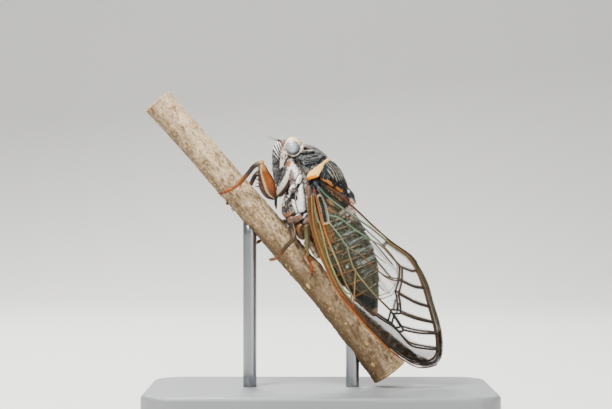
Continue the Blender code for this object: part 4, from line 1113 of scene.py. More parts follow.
def segment_share(points):
    """How far through its segment each point lies, 0 in front and 1 behind, and which segment that is."""
    edges = np.array([ABDOMEN[0][0]] + SEGMENT_ENDS + [ABDOMEN[-1][0]])
    slant = 0.22 * ramp(points[:, 0], 29.0, 25.0)
    u = np.clip(points[:, 0] - slant * (points[:, 1] + 1.5), edges[0], edges[-1])
    low = np.clip(np.searchsorted(edges, u, side="right") - 1, 0, len(edges) - 2)
    return (u - edges[low]) / (edges[low + 1] - edges[low]), low


ABDOMEN_LINE = [([(15.5, -3.5), (21.0, -3.7), (26.0, -3.6)], 0.12)]
# The last segments have no pale hind edge.
PLAIN_FROM = 8


def make_abdomen():
    """Overlapping rings, blue-black under grey powder, with orange hind edges low on the sides."""
    tail = round_form("abdomen_rings", ABDOMEN, 420, 120)
    points, _ = read(tail)
    share, number = segment_share(points)
    u, v = points[:, 0], points[:, 1]
    edge = ramp(share, 0.82, 0.9) * (number < PLAIN_FROM)
    high = np.maximum(ramp(v, 2.4, 0.8), 0.2)
    mask(tail, "rim", edge * (0.6 + 0.9 * rough(points, 0.6, 2.0)) * high)
    mask(tail, "edge", edge * ramp(v, -1.2, -2.4) * (0.75 + 0.5 * rough(points, 1.0, 5.0)))
    powder = ramp(np.abs(share - 0.55), 0.39, 0.09) * ramp(v, -2.4, -0.4) * np.maximum(ramp(u, 30, 26), 0.2)
    mask(tail, "powder", powder * (0.5 + 1.0 * rough(points * (1.5, 0.3, 0.3), 0.5, 4.0)))
    # Painted highlight: a pinkish light on the top of the front rings.
    mask(tail, "painted_highlight", ramp(u, 19, 16) * ramp(v, 0.2, 1.7) * (0.5 + rough(points, 0.6, 9.0)))
    brown = ramp(u, 19.5, 16.5) + ramp(u, 27.5, 24.5) * (0.25 + 0.9 * rough(points, 0.6, 7.0))
    mask(tail, "tan", 0.8 * np.clip(brown, 0, 1) * ramp(v, -1, -2))
    speck = np.exp(-(((v + 2.9) / 0.35) ** 2) - ((share - 0.45) / 0.25) ** 2) * ramp(np.abs(u - 21.5), 4, 3)
    mask(tail, "speck", speck * (0.6 + 0.6 * rough(points, 0.4, 6.0)))
    mask(tail, "line", marked(side_view(points), ABDOMEN_LINE))
    mask(tail, "belly", ramp(v, -5.2, -5.8))
    mask(tail, "tip", ramp(u, 32.6, 33.4))

    def height(points):
        share, _ = segment_share(points)
        step = 0.16 * share - 0.22 * np.exp(-((share / 0.08) ** 2))
        return step + 0.04 * rough(points, 0.5) + 0.02 * rough(points, 0.2, 2.0)

    relief(tail, height)
    layers = [
        ("powder", "#77837f", 0.3), ("tan", "#7d5630", 0.3), ("painted_highlight", "#b09488", 0.3),
        ("speck", "#9aa0a2", 0.15), ("rim", "#8e7464", 0.3), ("edge", "#80481a", 0.3),
        ("line", "#7a4420", 0.25), ("belly", TAN, 0.2), ("tip", "#7a5c4c", 0.25),
    ]
    # Smooth blue-black shell under a film of powder: dark, with a broad soft sheen.
    look = shell("blue_black_chitin", "#04070a", "#131d22", layers, roughness=0.45, bump=0.04, gloss=0.15)
    cover = np.ones(len(points))
    grow_pile(tail, "abdomen_hair", "abdomen", cover, SILVER_HAIR, density=1.2, length=0.2)
    place(tail, look, "abdomen", "abdomen")


def make_covers():
    """The two pale sound covers under the front of the abdomen."""
    # Thin horny plates: pale and matt, browner towards their rims.
    material = shell("sound_cover_chitin", "#5c4a30", "#c9ae98", [("rim", "#7a5a34", 0.2)], grain=0.5)
    for side, hand in SIDES:
        cover = round_form("sound_cover_" + hand, SOUND_COVER, 60, 60, middle_w=side * SOUND_COVER_W)
        points, _ = read(cover)
        mask(cover, "rim", (np.abs(points[:, 0] - 17.0) - 1.9) / 0.8)
        relief(cover, lambda points: 0.04 * rough(points, 0.5))
        place(cover, material, "operculum", "operculum_" + hand)


# Wings

# Outlines seen from the side, from the hinge to the tip: (u, v).
FORE_EDGE = [
    (7.0, -1.2), (8.5, -1.9), (10.0, -2.75), (12.0, -3.85), (15.0, -4.95), (20.0, -6.1), (25.0, -6.8),
    (28.0, -6.75), (31.0, -6.3), (35.0, -5.7), (40.0, -4.6), (44.0, -3.1), (46.2, -1.8), (47.3, -0.2),
    (47.8, 1.5),
]
FORE_BACK = [
    (7.0, 1.0), (9.0, 1.7), (11.0, 2.6), (14.0, 3.6), (16.5, 4.3), (20.0, 5.2), (24.0, 6.4), (28.0, 8.1),
    (30.0, 8.45), (34.0, 8.2), (38.0, 7.1), (42.0, 6.0), (44.0, 5.2), (46.0, 4.0), (47.2, 2.9), (47.8, 1.5),
]
HIND_EDGE = [
    (9.6, -0.6), (12.0, -1.9), (15.0, -3.4), (20.0, -4.6), (25.0, -4.5), (29.0, -3.2), (31.6, -1.2),
    (32.4, 1.2),
]
HIND_BACK = [
    (9.6, 0.6), (12.0, 1.6), (16.0, 2.7), (20.0, 3.7), (24.0, 4.8), (28.0, 5.2), (31.0, 3.8), (32.4, 1.2),
]
# How far out of the middle plane the wings lie: (u, w) along their back edge and their outer edge.
BACK_OUT = [
    (7.0, 3.8), (8.2, 4.6), (9.4, 5.05), (10.5, 5.0), (12.0, 4.6), (15.0, 3.7), (18.0, 3.0), (22.0, 2.1),
    (26.0, 1.35), (30.0, 0.85), (40.0, 0.85), (47.8, 1.6),
]
EDGE_OUT = [
    (7.0, 4.2), (8.2, 5.3), (9.4, 6.2), (12.0, 7.0), (15.0, 7.6), (20.0, 8.1), (25.0, 8.0), (30.0, 7.3),
    (36.0, 6.0), (42.0, 4.3), (47.8, 2.2),
]
# How sharply the folded wings bend down from the back.
ROOF_POWER = 2.4
# How deep the hindwing sinks at its root, how far it lies under the forewing, and how finely pleat lines are
# stained on it.
HIND_SINK = [(9.6, 1.5), (12.0, 0.0)]
WING_SPACING = 1.08
HIND_PLEATS = 42

# The forewing's two longest veins.
EDGE_VEIN = [
    (7.8, -0.8), (9.0, -1.4), (12.0, -3.1), (15.0, -4.4), (20.0, -5.6), (25.0, -6.3), (29.0, -6.2),
    (35.0, -5.2), (40.0, -4.1), (44.0, -2.6), (46.2, -0.6),
]
MARGIN_VEIN = [
    (46.2, -0.6), (46.9, 0.8), (46.7, 2.2), (45.6, 3.2), (43.0, 4.5), (38.2, 6.0), (34.7, 7.0), (31.3, 7.6),
    (28.5, 7.6), (26.0, 6.8), (24.0, 5.9), (20.0, 4.55), (16.0, 2.75), (12.0, 1.15), (9.0, 0.35), (7.8, 0.2),
]
# Veins of a wing: (points, first radius, last radius, colours from root to tip).
FORE_VEINS = [
    (FORE_EDGE, 0.14, 0.13, [UMBER, "#6d3f1c", "#6d3f1c", "#8a4a1c", ORANGE, ORANGE, RUST, UMBER]),
    (EDGE_VEIN, 0.11, 0.16, [TAN, "#7a5a2e", "#8a5a2c", "#8a4a1c", RUST, UMBER, INK, INK]),
    ([(7.8, -0.5), (9.0, -1.0), (12.0, -2.5), (15.0, -3.2), (20.0, -4.8), (25.0, -5.7), (28.0, -5.7),
      (29.2, -5.0)], 0.11, 0.13, [UMBER, "#77744a", "#86885a", "#79885e", "#77744a"]),
    (MARGIN_VEIN, 0.2, 0.14,
     [INK, UMBER, UMBER, "#42210d", "#4f2c12", "#6d4a26", "#7d7a50", MOSS, MOSS, "#1c241e"]),
    ([(7.9, 0.1), (12.0, -0.25), (15.1, -1.45)], 0.08, 0.1, [UMBER, "#6d6a5a", ASH]),
    ([(15.1, -1.45), (14.8, -2.6)], 0.14, 0.13, ["#b8a47c", "#a9702c"]),
    ([(7.9, -0.35), (9.0, -0.7), (12.0, -1.75), (14.8, -2.6), (18.0, -3.35), (22.0, -4.0), (26.0, -4.75),
      (29.2, -5.0)], 0.15, 0.12, [UMBER, "#964808", ORANGE, "#8d8a5c", "#7a5a2e", "#8d8a5c"]),
    ([(15.1, -1.45), (18.0, -1.1), (20.4, -1.0), (23.0, 0.3), (26.0, 1.1), (29.3, 2.2), (31.2, 4.1)],
     0.12, 0.14, ["#8a8a60", MOSS, "#6a5a34", "#5a3a1c", "#4a2c14", UMBER]),
    ([(20.4, -1.0), (22.5, -1.65), (25.0, -2.05), (30.0, -1.5), (35.5, -0.3)],
     0.12, 0.14, [MOSS, "#7a6a3e", "#77744a", "#5a4a2c", UMBER]),
    ([(25.0, -2.05), (28.0, -4.2), (30.3, -5.9)], 0.12, 0.13, ["#7a5a2e", "#8a6a3c", RUST]),
    ([(13.8, -0.9), (15.5, 0.6), (19.0, 2.0), (22.3, 3.6), (24.2, 4.6), (26.5, 5.0), (29.2, 5.5)],
     0.14, 0.13, [MOSS, MOSS, MOSS, "#5a4a2c", UMBER]),
    ([(13.8, -0.9), (16.0, -0.2), (20.0, 0.9), (24.0, 2.4), (27.0, 3.4)], 0.07, 0.07, ["#3f4432", "#4a3c24"]),
    ([(24.2, 4.6), (23.9, 5.8)], 0.12, 0.12, [UMBER]),
    ([(29.2, -5.0), (31.0, -4.3), (34.5, -2.9), (37.0, -1.75), (38.6, -1.3)], 0.18, 0.2, [UMBER, INK]),
    ([(29.2, 5.5), (31.2, 4.1), (32.8, 2.4), (34.0, 1.9), (35.9, 0.8), (35.5, -0.3), (38.8, -0.4),
      (38.6, -1.3)], 0.18, 0.2, [UMBER, INK]),
    ([(35.5, -0.3), (36.9, -1.8)], 0.18, 0.18, [INK]),
    ([(29.2, 5.5), (30.8, 6.7), (31.3, 7.6)], 0.16, 0.15, [UMBER]),
    ([(31.2, 4.1), (33.5, 5.6), (34.7, 7.0)], 0.18, 0.2, [UMBER, INK]),
    ([(32.8, 2.4), (36.0, 4.2), (38.2, 6.0)], 0.18, 0.2, [UMBER, INK]),
    ([(35.9, 0.8), (38.5, 2.7), (41.1, 5.15)], 0.18, 0.2, [UMBER, INK]),
    ([(38.8, -0.4), (41.0, 1.8), (43.0, 4.5)], 0.18, 0.2, [UMBER, INK]),
    ([(38.6, -1.3), (42.0, -0.7), (44.2, 1.4), (45.6, 3.2)], 0.18, 0.2, [UMBER, INK]),
    (FORE_BACK[:9], 0.11, 0.1, ["#6e3416", "#6e3416", "#42210d", UMBER]),
]
# The cross veins and outer veins come after the long inner ones.
OUTER_VEINS = 12
# Stains on the forewing's skin, from smoky brown to pale.
COSTAL_TINTS = ["#432c14", "#4a321a", "#4d401f", "#504522", "#443014", "#33240e", UMBER]
FORE_SMOKE = [
    ([(31.0, -5.9), (35.2, -4.6), (37.5, -3.8), (40.0, -3.0), (42.5, -2.1), (45.0, -1.2), (46.6, 0.0)], 0.75),
    ([(36.0, -4.4), (40.0, -3.2), (44.5, -1.6)], 0.9),
    ([(34.3, 1.4), (35.6, 0.2)], 0.25),
    ([(46.5, -0.8), (47.3, 0.8), (47.0, 2.6), (45.8, 3.7), (43.4, 4.9)], 0.4),
]
FORE_VEIL = [(30.6, -5.6), (33.0, -4.6), (37.5, -2.7), (41.0, -1.7), (44.4, -0.5), (45.8, 1.6)]
FORE_DARK = [
    ([(10.4, -0.5), (12.2, -0.95), (14.4, -1.85)], 0.36),
    ([(8.4, -0.95), (9.2, -1.0), (12.0, -2.05), (14.0, -2.75)], 0.16),
]
FORE_PALE = [([(10.2, -0.45), (12.2, -0.95), (14.6, -1.95)], 0.49)]
HIND_VEINS = [
    (HIND_EDGE, 0.1, 0.09, ["#4a4a30", "#4f3a20", UMBER]),
    (HIND_BACK, 0.07, 0.07, ["#4f3a20", UMBER]),
    ([(12.0, -1.0), (16.0, -2.6), (22.0, -3.6), (28.0, -2.8)], 0.09, 0.08, ["#46482e", UMBER]),
    ([(12.0, -0.3), (20.0, -0.6), (26.0, -0.3), (31.0, 0.4)], 0.09, 0.08, ["#46482e", UMBER]),
    ([(20.0, -0.6), (25.0, -1.6), (30.6, -1.4)], 0.1, 0.08, [UMBER]),
    ([(12.0, 0.4), (19.0, 1.4), (25.0, 2.2), (30.0, 2.9)], 0.09, 0.08, ["#46482e", UMBER]),
    ([(12.5, 1.0), (18.0, 2.5), (23.0, 3.7), (28.0, 4.4)], 0.09, 0.07, ["#4f3a20", UMBER]),
    ([(22.0, -3.6), (21.4, -2.2), (21.0, -0.6)], 0.09, 0.09, [UMBER]),
    ([(24.0, -0.4), (24.2, 0.9), (23.4, 2.0)], 0.09, 0.09, [UMBER]),
]


# The plate each forewing hangs from: its lobes and their sizes, its marks, and the thick roots of the veins.
HINGE_LOBES = [
    ((7.4, 0.5, 5.0), (0.65, 0.6, 0.5)),
    ((7.7, -0.4, 5.2), (0.7, 0.5, 0.45)),
    ((7.4, -1.1, 4.9), (0.55, 0.4, 0.4)),
    ((8.1, 1.1, 4.7), (0.7, 0.28, 0.3)),
]
HINGE_MARKS = {
    "brown": [([(7.4, -1.4), (9.8, -2.5)], 0.4), ([(9.7, -1.1), (10.4, -1.3)], 0.3)],
    "moss": [([(9.0, 0.4), (9.9, 0.6)], 0.3)],
    # Painted highlight: blue-grey light on the upper lobes.
    "painted_sheen": [([(7.5, 0.1), (8.0, 0.3), (8.6, 0.3)], 0.22)],
    "red": [([(8.6, -0.5), (8.8, -0.6)], 0.13)],
}
VEIN_ROOTS = [
    [((7.0, -1.1, 4.6), 0.35), ((8.2, -1.6, 5.4), 0.36), ((9.6, -2.25, 6.2), 0.16)],
    [((7.4, -0.9, 5.0), 0.3), ((8.6, -1.25, 5.65), 0.26), ((9.8, -1.8, 6.25), 0.14)],
    [((7.8, -0.3, 5.1), 0.3), ((8.7, -0.55, 5.65), 0.3), ((10.0, -1.05, 6.2), 0.16)],
    [((7.6, 0.2, 5.0), 0.35), ((8.6, 0.3, 5.4), 0.26), ((9.8, 0.6, 5.75), 0.18)],
    [((7.6, 1.0, 4.7), 0.35), ((8.6, 1.5, 4.85), 0.22), ((9.8, 2.0, 5.05), 0.12)],
]


def even_line(chain, count):
    """Points evenly spaced along the smooth line through a chain of points."""
    chain = np.array(chain, float)
    fine = np.linspace(0, len(chain) - 1, 30 * len(chain))
    line = np.stack([smooth(list(enumerate(chain[:, k])), fine) for k in range(chain.shape[1])], -1)
    lengths = np.concatenate([[0], np.cumsum(np.linalg.norm(np.diff(line, axis=0), axis=1))])
    at = np.linspace(0, lengths[-1], count)
    return np.stack([np.interp(at, lengths, line[:, k]) for k in range(chain.shape[1])], -1)


def forewing_out(u, v):
    """How far out the left forewing lies at (u, v)."""
    back, edge = smooth(FORE_BACK, u), smooth(FORE_EDGE, u)
    down = np.clip((back - v) / np.maximum(back - edge, 0.1), 0, 1)
    bulge = 1 - (1 - down) ** ROOF_POWER
    return smooth(BACK_OUT, u) * (1 - bulge) + smooth(EDGE_OUT, u) * bulge


def hindwing_out(u, v, nudge=0.05):
    """The left hindwing lies evenly under the forewing, and sinks into the body at its root."""
    along = (forewing_out(u + nudge, v) - forewing_out(u - nudge, v)) / (2 * nudge)
    up = (forewing_out(u, v + nudge) - forewing_out(u, v - nudge)) / (2 * nudge)
    return forewing_out(u, v) - WING_SPACING * np.sqrt(1 + along ** 2 + up ** 2) - smooth(HIND_SINK, u)


def wing_sheet(name, edge, back, out, side, rows, count):
    """An open sheet between a wing's outer and back edges."""
    across = np.linspace(0, 1, count)[None, :, None]
    flat = even_line(edge, rows)[:, None] * (1 - across) + even_line(back, rows)[:, None] * across
    w = side * out(flat[..., 0], flat[..., 1])
    return assemble(name, [grid_part(np.concatenate([flat, w[..., None]], -1), wrap=False, caps=False)])


def vein_runs(veins, out, side, step=0.22):
    """What tubes needs to draw a wing's veins on its sheet."""
    runs = []
    for chain, first, last, hexes in veins:
        length = np.linalg.norm(np.diff(np.array(chain), axis=0), axis=1).sum()
        flat = even_line(chain, max(4, round(length / step)))
        share = np.linspace(0, 1, len(flat))
        w = side * out(flat[:, 0], flat[:, 1])
        line = np.concatenate([flat, w[:, None]], -1)
        runs.append((line, first + (last - first) * share, shades(hexes, share)))
    return runs


def make_membrane(name):
    """Wing skin whose stain attribute holds its tint and how dense that is."""
    # Clear rippled skin, as thin as film: see-through, with small glints on its ripples.
    material, tree, shader, where = new_material(name)
    ripple = add(tree, "ShaderNodeTexNoise", patches(where, 0.6)).outputs["Fac"]
    tint = add(tree, "ShaderNodeAttribute", attribute_name="stain")
    links = {"Value": ripple, "From Min": 0.2, "From Max": 0.8, "To Min": 0.85, "To Max": 1.15}
    uneven = add(tree, "ShaderNodeMapRange", links, interpolation_type="SMOOTHSTEP").outputs["Result"]
    links = {0: tint.outputs["Alpha"], 1: uneven}
    dense = add(tree, "ShaderNodeMath", links, operation="MULTIPLY", use_clamp=True).outputs[0]
    bump = add(tree, "ShaderNodeBump", {"Height": ripple, "Distance": 0.02 * MM, "Strength": 0.6})
    fill(tree, shader, {"Base Color": tint.outputs["Color"], "Alpha": dense, "Roughness": 0.18,
                        "Specular IOR Level": 0.12, "Normal": bump.outputs["Normal"]})
    return material


def stain(sheet, tint, clear, layers):
    """Tints a wing skin. A layer is its share at each point, its colour or colours, and its density."""
    paint = np.tile([*colour(tint)[:3], clear], (len(sheet.data.vertices), 1))
    for share, shade, dense in layers:
        share = np.clip(share, 0, 1)
        shade = np.array(colour(shade)) if isinstance(shade, str) else shade
        paint[:, :3] += (shade[..., :3] - paint[:, :3]) * share[:, None]
        paint[:, 3] = np.maximum(paint[:, 3], share * dense)
    layer = sheet.data.attributes.new("stain", "FLOAT_COLOR", "POINT")
    layer.data.foreach_set("color", paint.astype(np.float32).ravel())


def make_forewing(side, hand, membrane, vein_look):
    """A long front wing, clear but for its smoky tip and the brown along its front edge and veins."""
    sheet = wing_sheet("forewing_skin_" + hand, FORE_EDGE, FORE_BACK, forewing_out, side, 340, 110)
    flat = side_view(read(sheet)[0])
    u = flat[:, 0]
    shadow = 0.5 + 0.5 * rough(np.stack([u, flat[:, 1], u * 0], -1), 1.5, 3.0)
    borders = [(vein[0], 0.4) for vein in FORE_VEINS[OUTER_VEINS:]]
    costal = [(EDGE_VEIN[1:9], 0.5), (FORE_EDGE[:7], 0.55)]
    stain(sheet, "#7f7b60", 0.035, [
        (ramp(u, 8, 14) * ramp(u, 30, 22) * shadow, "#5c4a30", 0.06),
        (2 * marked(flat, borders) - 0.7, "#33270f", 0.5),
        (2.5 * marked(flat, [(FORE_BACK[6:], 0.8)]) - 0.6, "#302812", 0.85),
        (1.8 * marked(flat, [(FORE_VEIL, 1.2)]) - 0.4, "#33270f", 0.45),
        (2 * marked(flat, FORE_SMOKE) - 0.45, "#1c1003", 0.93),
        (4 * marked(flat, costal) - 1.5, shades(COSTAL_TINTS, ramp(u, 7, 39)), 0.93),
        (4 * marked(flat, FORE_PALE) - 1.5, "#948a70", 0.75),
        (4 * marked(flat, FORE_DARK) - 1.5, "#1b1713", 0.95),
    ])
    relief(sheet, lambda points: 0.06 * rough(points, 1.6) + 0.025 * rough(points, 0.6, 4.0))
    place(sheet, membrane, "wing", "forewing_" + hand)
    place(tubes("forewing_veins_" + hand, vein_runs(FORE_VEINS, forewing_out, side), vein_look), None, "wing")


def make_hindwing(side, hand, membrane, vein_look):
    """A short hind wing under the front one, with fine pleat lines stained on it."""
    sheet = wing_sheet("hindwing_skin_" + hand, HIND_EDGE, HIND_BACK, hindwing_out, side, 200, 70)
    flat = side_view(read(sheet)[0])
    pleat = np.abs(np.sin(HIND_PLEATS * np.arctan2(flat[:, 1], flat[:, 0] - 6.0))) ** 3
    stain(sheet, "#8f8b70", 0.06, [(pleat, "#59573c", 0.3)])
    relief(sheet, lambda points: 0.05 * rough(points, 1.2, 2.0))
    place(sheet, membrane, "wing", "hindwing_" + hand)
    place(tubes("hindwing_veins_" + hand, vein_runs(HIND_VEINS, hindwing_out, side), vein_look), None, "wing")


def make_wings():
    """Four clear wings folded like a roof, their skins as sheets and their veins as fine tubes."""
    membrane = make_membrane("wing_membrane")
    # Hard hollow tubes: brown to mossy green, each with a thin line of light along it.
    vein_look = painted("wing_vein", 0.3, grain=0.4)
    for side, hand in SIDES:
        make_forewing(side, hand, membrane, vein_look)
        make_hindwing(side, hand, membrane, vein_look)


def make_hinges():
    """The dark lumpy plates at the roots of the forewings, each with a red spot."""
    layers = [
        ("brown", "#5a381a", 0.25), ("moss", "#3c4c3e", 0.25), ("painted_sheen", "#4a545c", 0.3),
        ("red", "#7d1c0a", 0.12),
    ]
    # Hard lumpy shell: black, with a dull blue-grey highlight painted on the lobes.
    look = shell("hinge_chitin", "#070708", "#242426", layers, roughness=0.45, grain=0.2)
    for side, hand in SIDES:
        lobes = [ball(middle, size, 36, 24) for middle, size in mirrored(HINGE_LOBES, side)]
        roots = [limb(mirrored(root, side), 24, 24) for root in VEIN_ROOTS]
        hinge = assemble("wing_hinge_" + hand, lobes + roots)
        fuse(hinge, voxel=0.06, rounds=3)
        relief(hinge, lambda points: 0.05 * rough(points, 0.3))
        mark_up(hinge, side_view(read(hinge)[0]), HINGE_MARKS)
        place(hinge, look, "wing")


# Legs

# Each part's points and radii from root to tip, the claws' tips, and the spines' roots and tips.
LEGS = {
    "foreleg_left": {
        "coxa": [((3.6, -2.4, 3.0), 0.75), ((5.0, -4.6, 3.3), 0.9), ((5.9, -6.9, 3.3), 0.65)],
        "femur": [((6.0, -7.4, 3.3), 0.6), ((4.6, -7.5, 3.5), 1.15), ((3.0, -7.1, 3.6), 1.3),
                  ((1.0, -6.7, 3.8), 0.95), ((-0.6, -6.2, 3.9), 0.6)],
        "tibia": [((-0.75, -6.1, 3.9), 0.55), ((-0.9, -7.5, 3.9), 0.45), ((-0.3, -9.4, 3.8), 0.42),
                  ((0.45, -11.8, 3.75), 0.42)],
        "tarsus": [((0.45, -11.8, 3.75), 0.36), ((0.4, -13.2, 3.65), 0.34), ((0.15, -14.9, 3.45), 0.3)],
        "claws": [((-0.2, -15.9, 2.8), (0.5, -15.9, 2.7))],
        "spines": [((2.4, -8.0, 3.6), (1.9, -9.0, 3.6)), ((1.1, -7.3, 3.8), (0.5, -8.1, 3.8))],
    },
    "foreleg_right": {
        "coxa": [((3.6, -2.4, -3.0), 0.75), ((5.0, -4.6, -3.3), 0.9), ((6.0, -6.9, -3.3), 0.65)],
        "femur": [((6.1, -7.4, -3.3), 0.6), ((4.7, -7.9, -3.6), 1.1), ((3.2, -7.9, -3.9), 1.2),
                  ((1.6, -7.5, -4.1), 0.9), ((0.3, -7.1, -4.3), 0.6)],
        "tibia": [((0.2, -7.0, -4.3), 0.55), ((0.4, -8.4, -4.3), 0.45), ((1.3, -10.0, -4.2), 0.42),
                  ((2.2, -11.8, -4.0), 0.42)],
        "tarsus": [((2.2, -11.8, -4.0), 0.36), ((2.8, -13.4, -3.9), 0.34), ((3.3, -14.7, -3.4), 0.3)],
        "claws": [((3.3, -15.7, -2.5), (4.0, -15.6, -2.5))],
        "spines": [((2.6, -8.7, -3.9), (2.1, -9.6, -3.9)), ((1.5, -8.1, -4.1), (0.9, -8.8, -4.1))],
    },
    "midleg_left": {
        "coxa": [((10.6, -6.2, 2.4), 1.0), ((11.8, -7.6, 2.9), 0.85)],
        "femur": [((11.7, -7.5, 2.8), 0.65), ((12.9, -7.9, 4.6), 0.85), ((14.1, -8.4, 6.2), 0.5)],
        "tibia": [((14.1, -8.4, 6.2), 0.48), ((14.6, -10.2, 5.4), 0.4), ((15.3, -12.4, 4.1), 0.4)],
        "tarsus": [((15.3, -12.4, 4.1), 0.34), ((15.5, -13.2, 3.7), 0.32), ((15.2, -14.0, 2.7), 0.3)],
        "claws": [((14.8, -14.5, 1.5), (15.6, -14.5, 1.5))],
        "spines": [],
    },
    "midleg_right": {
        "coxa": [((10.4, -6.2, -2.4), 1.0), ((11.4, -7.6, -2.9), 0.85)],
        "femur": [((11.3, -7.5, -2.8), 0.65), ((10.9, -8.3, -4.4), 0.85), ((10.5, -9.0, -6.0), 0.5)],
        "tibia": [((10.5, -9.0, -6.0), 0.48), ((10.8, -10.8, -5.3), 0.4), ((11.2, -12.9, -4.1), 0.4)],
        "tarsus": [((11.2, -12.9, -4.1), 0.34), ((11.3, -13.8, -3.5), 0.32), ((11.2, -14.6, -2.4), 0.3)],
        "claws": [((10.9, -14.9, -1.2), (11.6, -14.9, -1.2))],
        "spines": [],
    },
    "hindleg_left": {
        "coxa": [((12.6, -5.6, 2.4), 1.0), ((13.6, -6.5, 2.9), 0.85), ((15.3, -7.2, 2.9), 0.45)],
        "femur": [((13.5, -6.5, 2.9), 0.6), ((13.6, -5.9, 4.4), 0.8), ((13.6, -5.3, 5.8), 0.5)],
        "tibia": [((13.6, -5.3, 5.8), 0.48), ((15.8, -6.7, 5.2), 0.42), ((18.2, -8.1, 3.9), 0.42)],
        "tarsus": [((18.2, -8.1, 3.9), 0.34), ((20.0, -8.35, 3.7), 0.32), ((21.2, -8.9, 3.75), 0.3)],
        "claws": [((22.1, -9.2, 3.9), (21.9, -9.9, 3.85))],
        "spines": [((15.4, -6.6, 5.3), (16.2, -7.6, 5.5)), ((17.0, -7.5, 4.6), (17.8, -8.4, 4.9))],
    },
    "hindleg_right": {
        "coxa": [((12.6, -5.6, -2.4), 1.0), ((13.4, -6.9, -2.9), 0.85), ((15.1, -7.4, -2.9), 0.45)],
        "femur": [((13.3, -6.8, -2.8), 0.6), ((12.8, -7.7, -4.2), 0.8), ((12.3, -8.5, -5.6), 0.5)],
        "tibia": [((12.3, -8.5, -5.6), 0.48), ((14.8, -8.4, -5.0), 0.42), ((17.3, -8.2, -3.9), 0.42)],
        "tarsus": [((17.3, -8.2, -3.9), 0.34), ((18.8, -9.0, -3.9), 0.32), ((20.1, -9.9, -3.8), 0.3)],
        "claws": [((20.9, -10.6, -3.75), (20.6, -11.0, -3.65))],
        "spines": [((14.2, -8.5, -5.1), (14.9, -9.4, -5.4)), ((16.0, -8.4, -4.5), (16.8, -9.3, -4.9))],
    },
}
# A leg's colours from root to tip, part by part, and the bands along its thigh and hip.
LEG_LOOKS = {
    "foreleg": {
        "coxa": ["#cfc4ba", "#b9aea4", "#8f8378"],
        "femur": ["#2e1507", "#6e3200", "#7f4000", "#723a00", "#b98a50"],
        "tibia": ["#6d6257", "#211c18", "#2e241c", "#6a3c14", "#854400"],
        "tarsus": ["#904c08", "#864208", RUST],
        "bands": [(INK, 1.0, 0.26), ("#b39c70", 0.46, 0.13), ("#4f2108", -1.0, 0.24)],
        "hip_bands": [("#2e1507", 0.8, 0.75)],
    },
    "midleg": {
        "coxa": ["#6a4226", "#5d4c3e"],
        "femur": [INK, "#2a1c10", "#4a3420"],
        "tibia": ["#4d3a20", "#3a2b18", "#6a4218"],
        "tarsus": ["#6a4426", RUST],
        # Painted highlight: a grey-tan stripe along one side of the middle thighs.
        "bands": [("#7d6a55", 0.6, 0.15)],
        "hip_bands": [],
    },
    "hindleg_left": {
        "coxa": [UMBER, "#8a5a30", "#4f3318", "#5d3a1a"],
        "femur": [UMBER, "#574726"],
        "tibia": ["#4b4724", "#6a663a", "#8a6a3a"],
        "tarsus": ["#a8541a", RUST],
        "bands": [(UMBER, 1.0, 0.5)],
        "hip_bands": [],
    },
    # Painted shade: the right hind leg, on the far side, is painted near black, darker than the left one.
    "hindleg_right": {
        "coxa": [UMBER, INK],
        "femur": [INK],
        "tibia": [INK, UMBER],
        "tarsus": [UMBER, INK],
        "bands": [],
        "hip_bands": [],
    },
}
# How many points run along a foot, and at which of them its three joints start and end.
FOOT_POINTS = 21
FOOT_JOINTS = ((0, 5), (4, 9), (8, 20))


def slimmer(stops, share):
    """A limb's stops at a share of their thickness."""
    return [(point, radius * share) for point, radius in stops]


def leg_parts(sizes, look):
    """The parts of one leg: hip, thigh, shin, a foot of three joints, claws and spines."""
    thigh = 1.0 if sizes["femur"][1][1] > 1 else 0.8  # Only the strong front thighs keep their full width.
    parts = [limb(sizes["coxa"], 32, 40, look["coxa"], bands=look["hip_bands"])]
    parts.append(limb(slimmer(sizes["femur"], thigh), 44, 70, look["femur"], 0.85, look["bands"]))
    parts.append(limb(slimmer(sizes["tibia"], 0.97), 28, 60, look["tibia"]))
    knee, size = sizes["tibia"][0]
    points, faces, paint = ball(knee, [size * 1.02] * 3, 28, 20)
    parts.append((points, faces, np.broadcast_to(colour(look["femur"][-1]), paint.shape)))
    line = even_line([point for point, _ in sizes["tarsus"]], FOOT_POINTS)
    thick = sizes["tarsus"][0][1]
    for first, last in FOOT_JOINTS:
        shares = ((first, 0.8), ((first + last) // 2, 0.9), (last, 1.05))
        parts.append(limb([(line[at], thick * share) for at, share in shares], 22, 20, look["tarsus"]))
    foot = line[-1]
    for tips in sizes["claws"]:
        for tip in tips:
            bend = (foot + np.array(tip)) / 2 + (foot - line[-4]) * 0.5
            parts.append(limb([(foot, 0.16), (bend, 0.12), (tip, 0.03)], 12, 14, [RUST, INK]))
    for root, tip in sizes["spines"]:
        parts.append(limb([(root, 0.24), (tip, 0.04)], 14, 12, [RUST, INK]))
    return parts


def make_legs():
    """Six jointed legs with spines and hooked claws."""
    # Smooth hard shell: banded browns, with a soft line of light along each joint.
    material = painted("leg_chitin", 0.3, grain=0.25)
    for name, sizes in LEGS.items():
        look = LEG_LOOKS.get(name) or LEG_LOOKS[name.split("_")[0]]
        kind = "foreleg" if name.startswith("fore") else "leg"
        leg = assemble(name + "_shell", leg_parts(sizes, look), coloured=True)
        relief(leg, lambda points: 0.03 * rough(points, 0.5) + 0.012 * rough(points, 0.15, 4.0))
        cover = np.ones(len(leg.data.vertices))
        grow_pile(leg, name + "_hair", kind, cover, DARK_HAIR, density=10.0, length=0.3, lie=(0.2, -0.8, 0.0))
        place(leg, material, kind, name)


# Branch and stand

BRANCH_LINE = [
    (-20.6, -16.4), (-9.4, -14.4), (-0.7, -13.15), (8.1, -11.6), (16.8, -10.35), (25.7, -9.0), (34.5, -7.9),
    (44.6, -6.65),
]
BRANCH_RADIUS = [(-20.6, 2.85), (10.0, 2.8), (28.0, 2.8), (36.0, 3.1), (44.6, 3.4)]
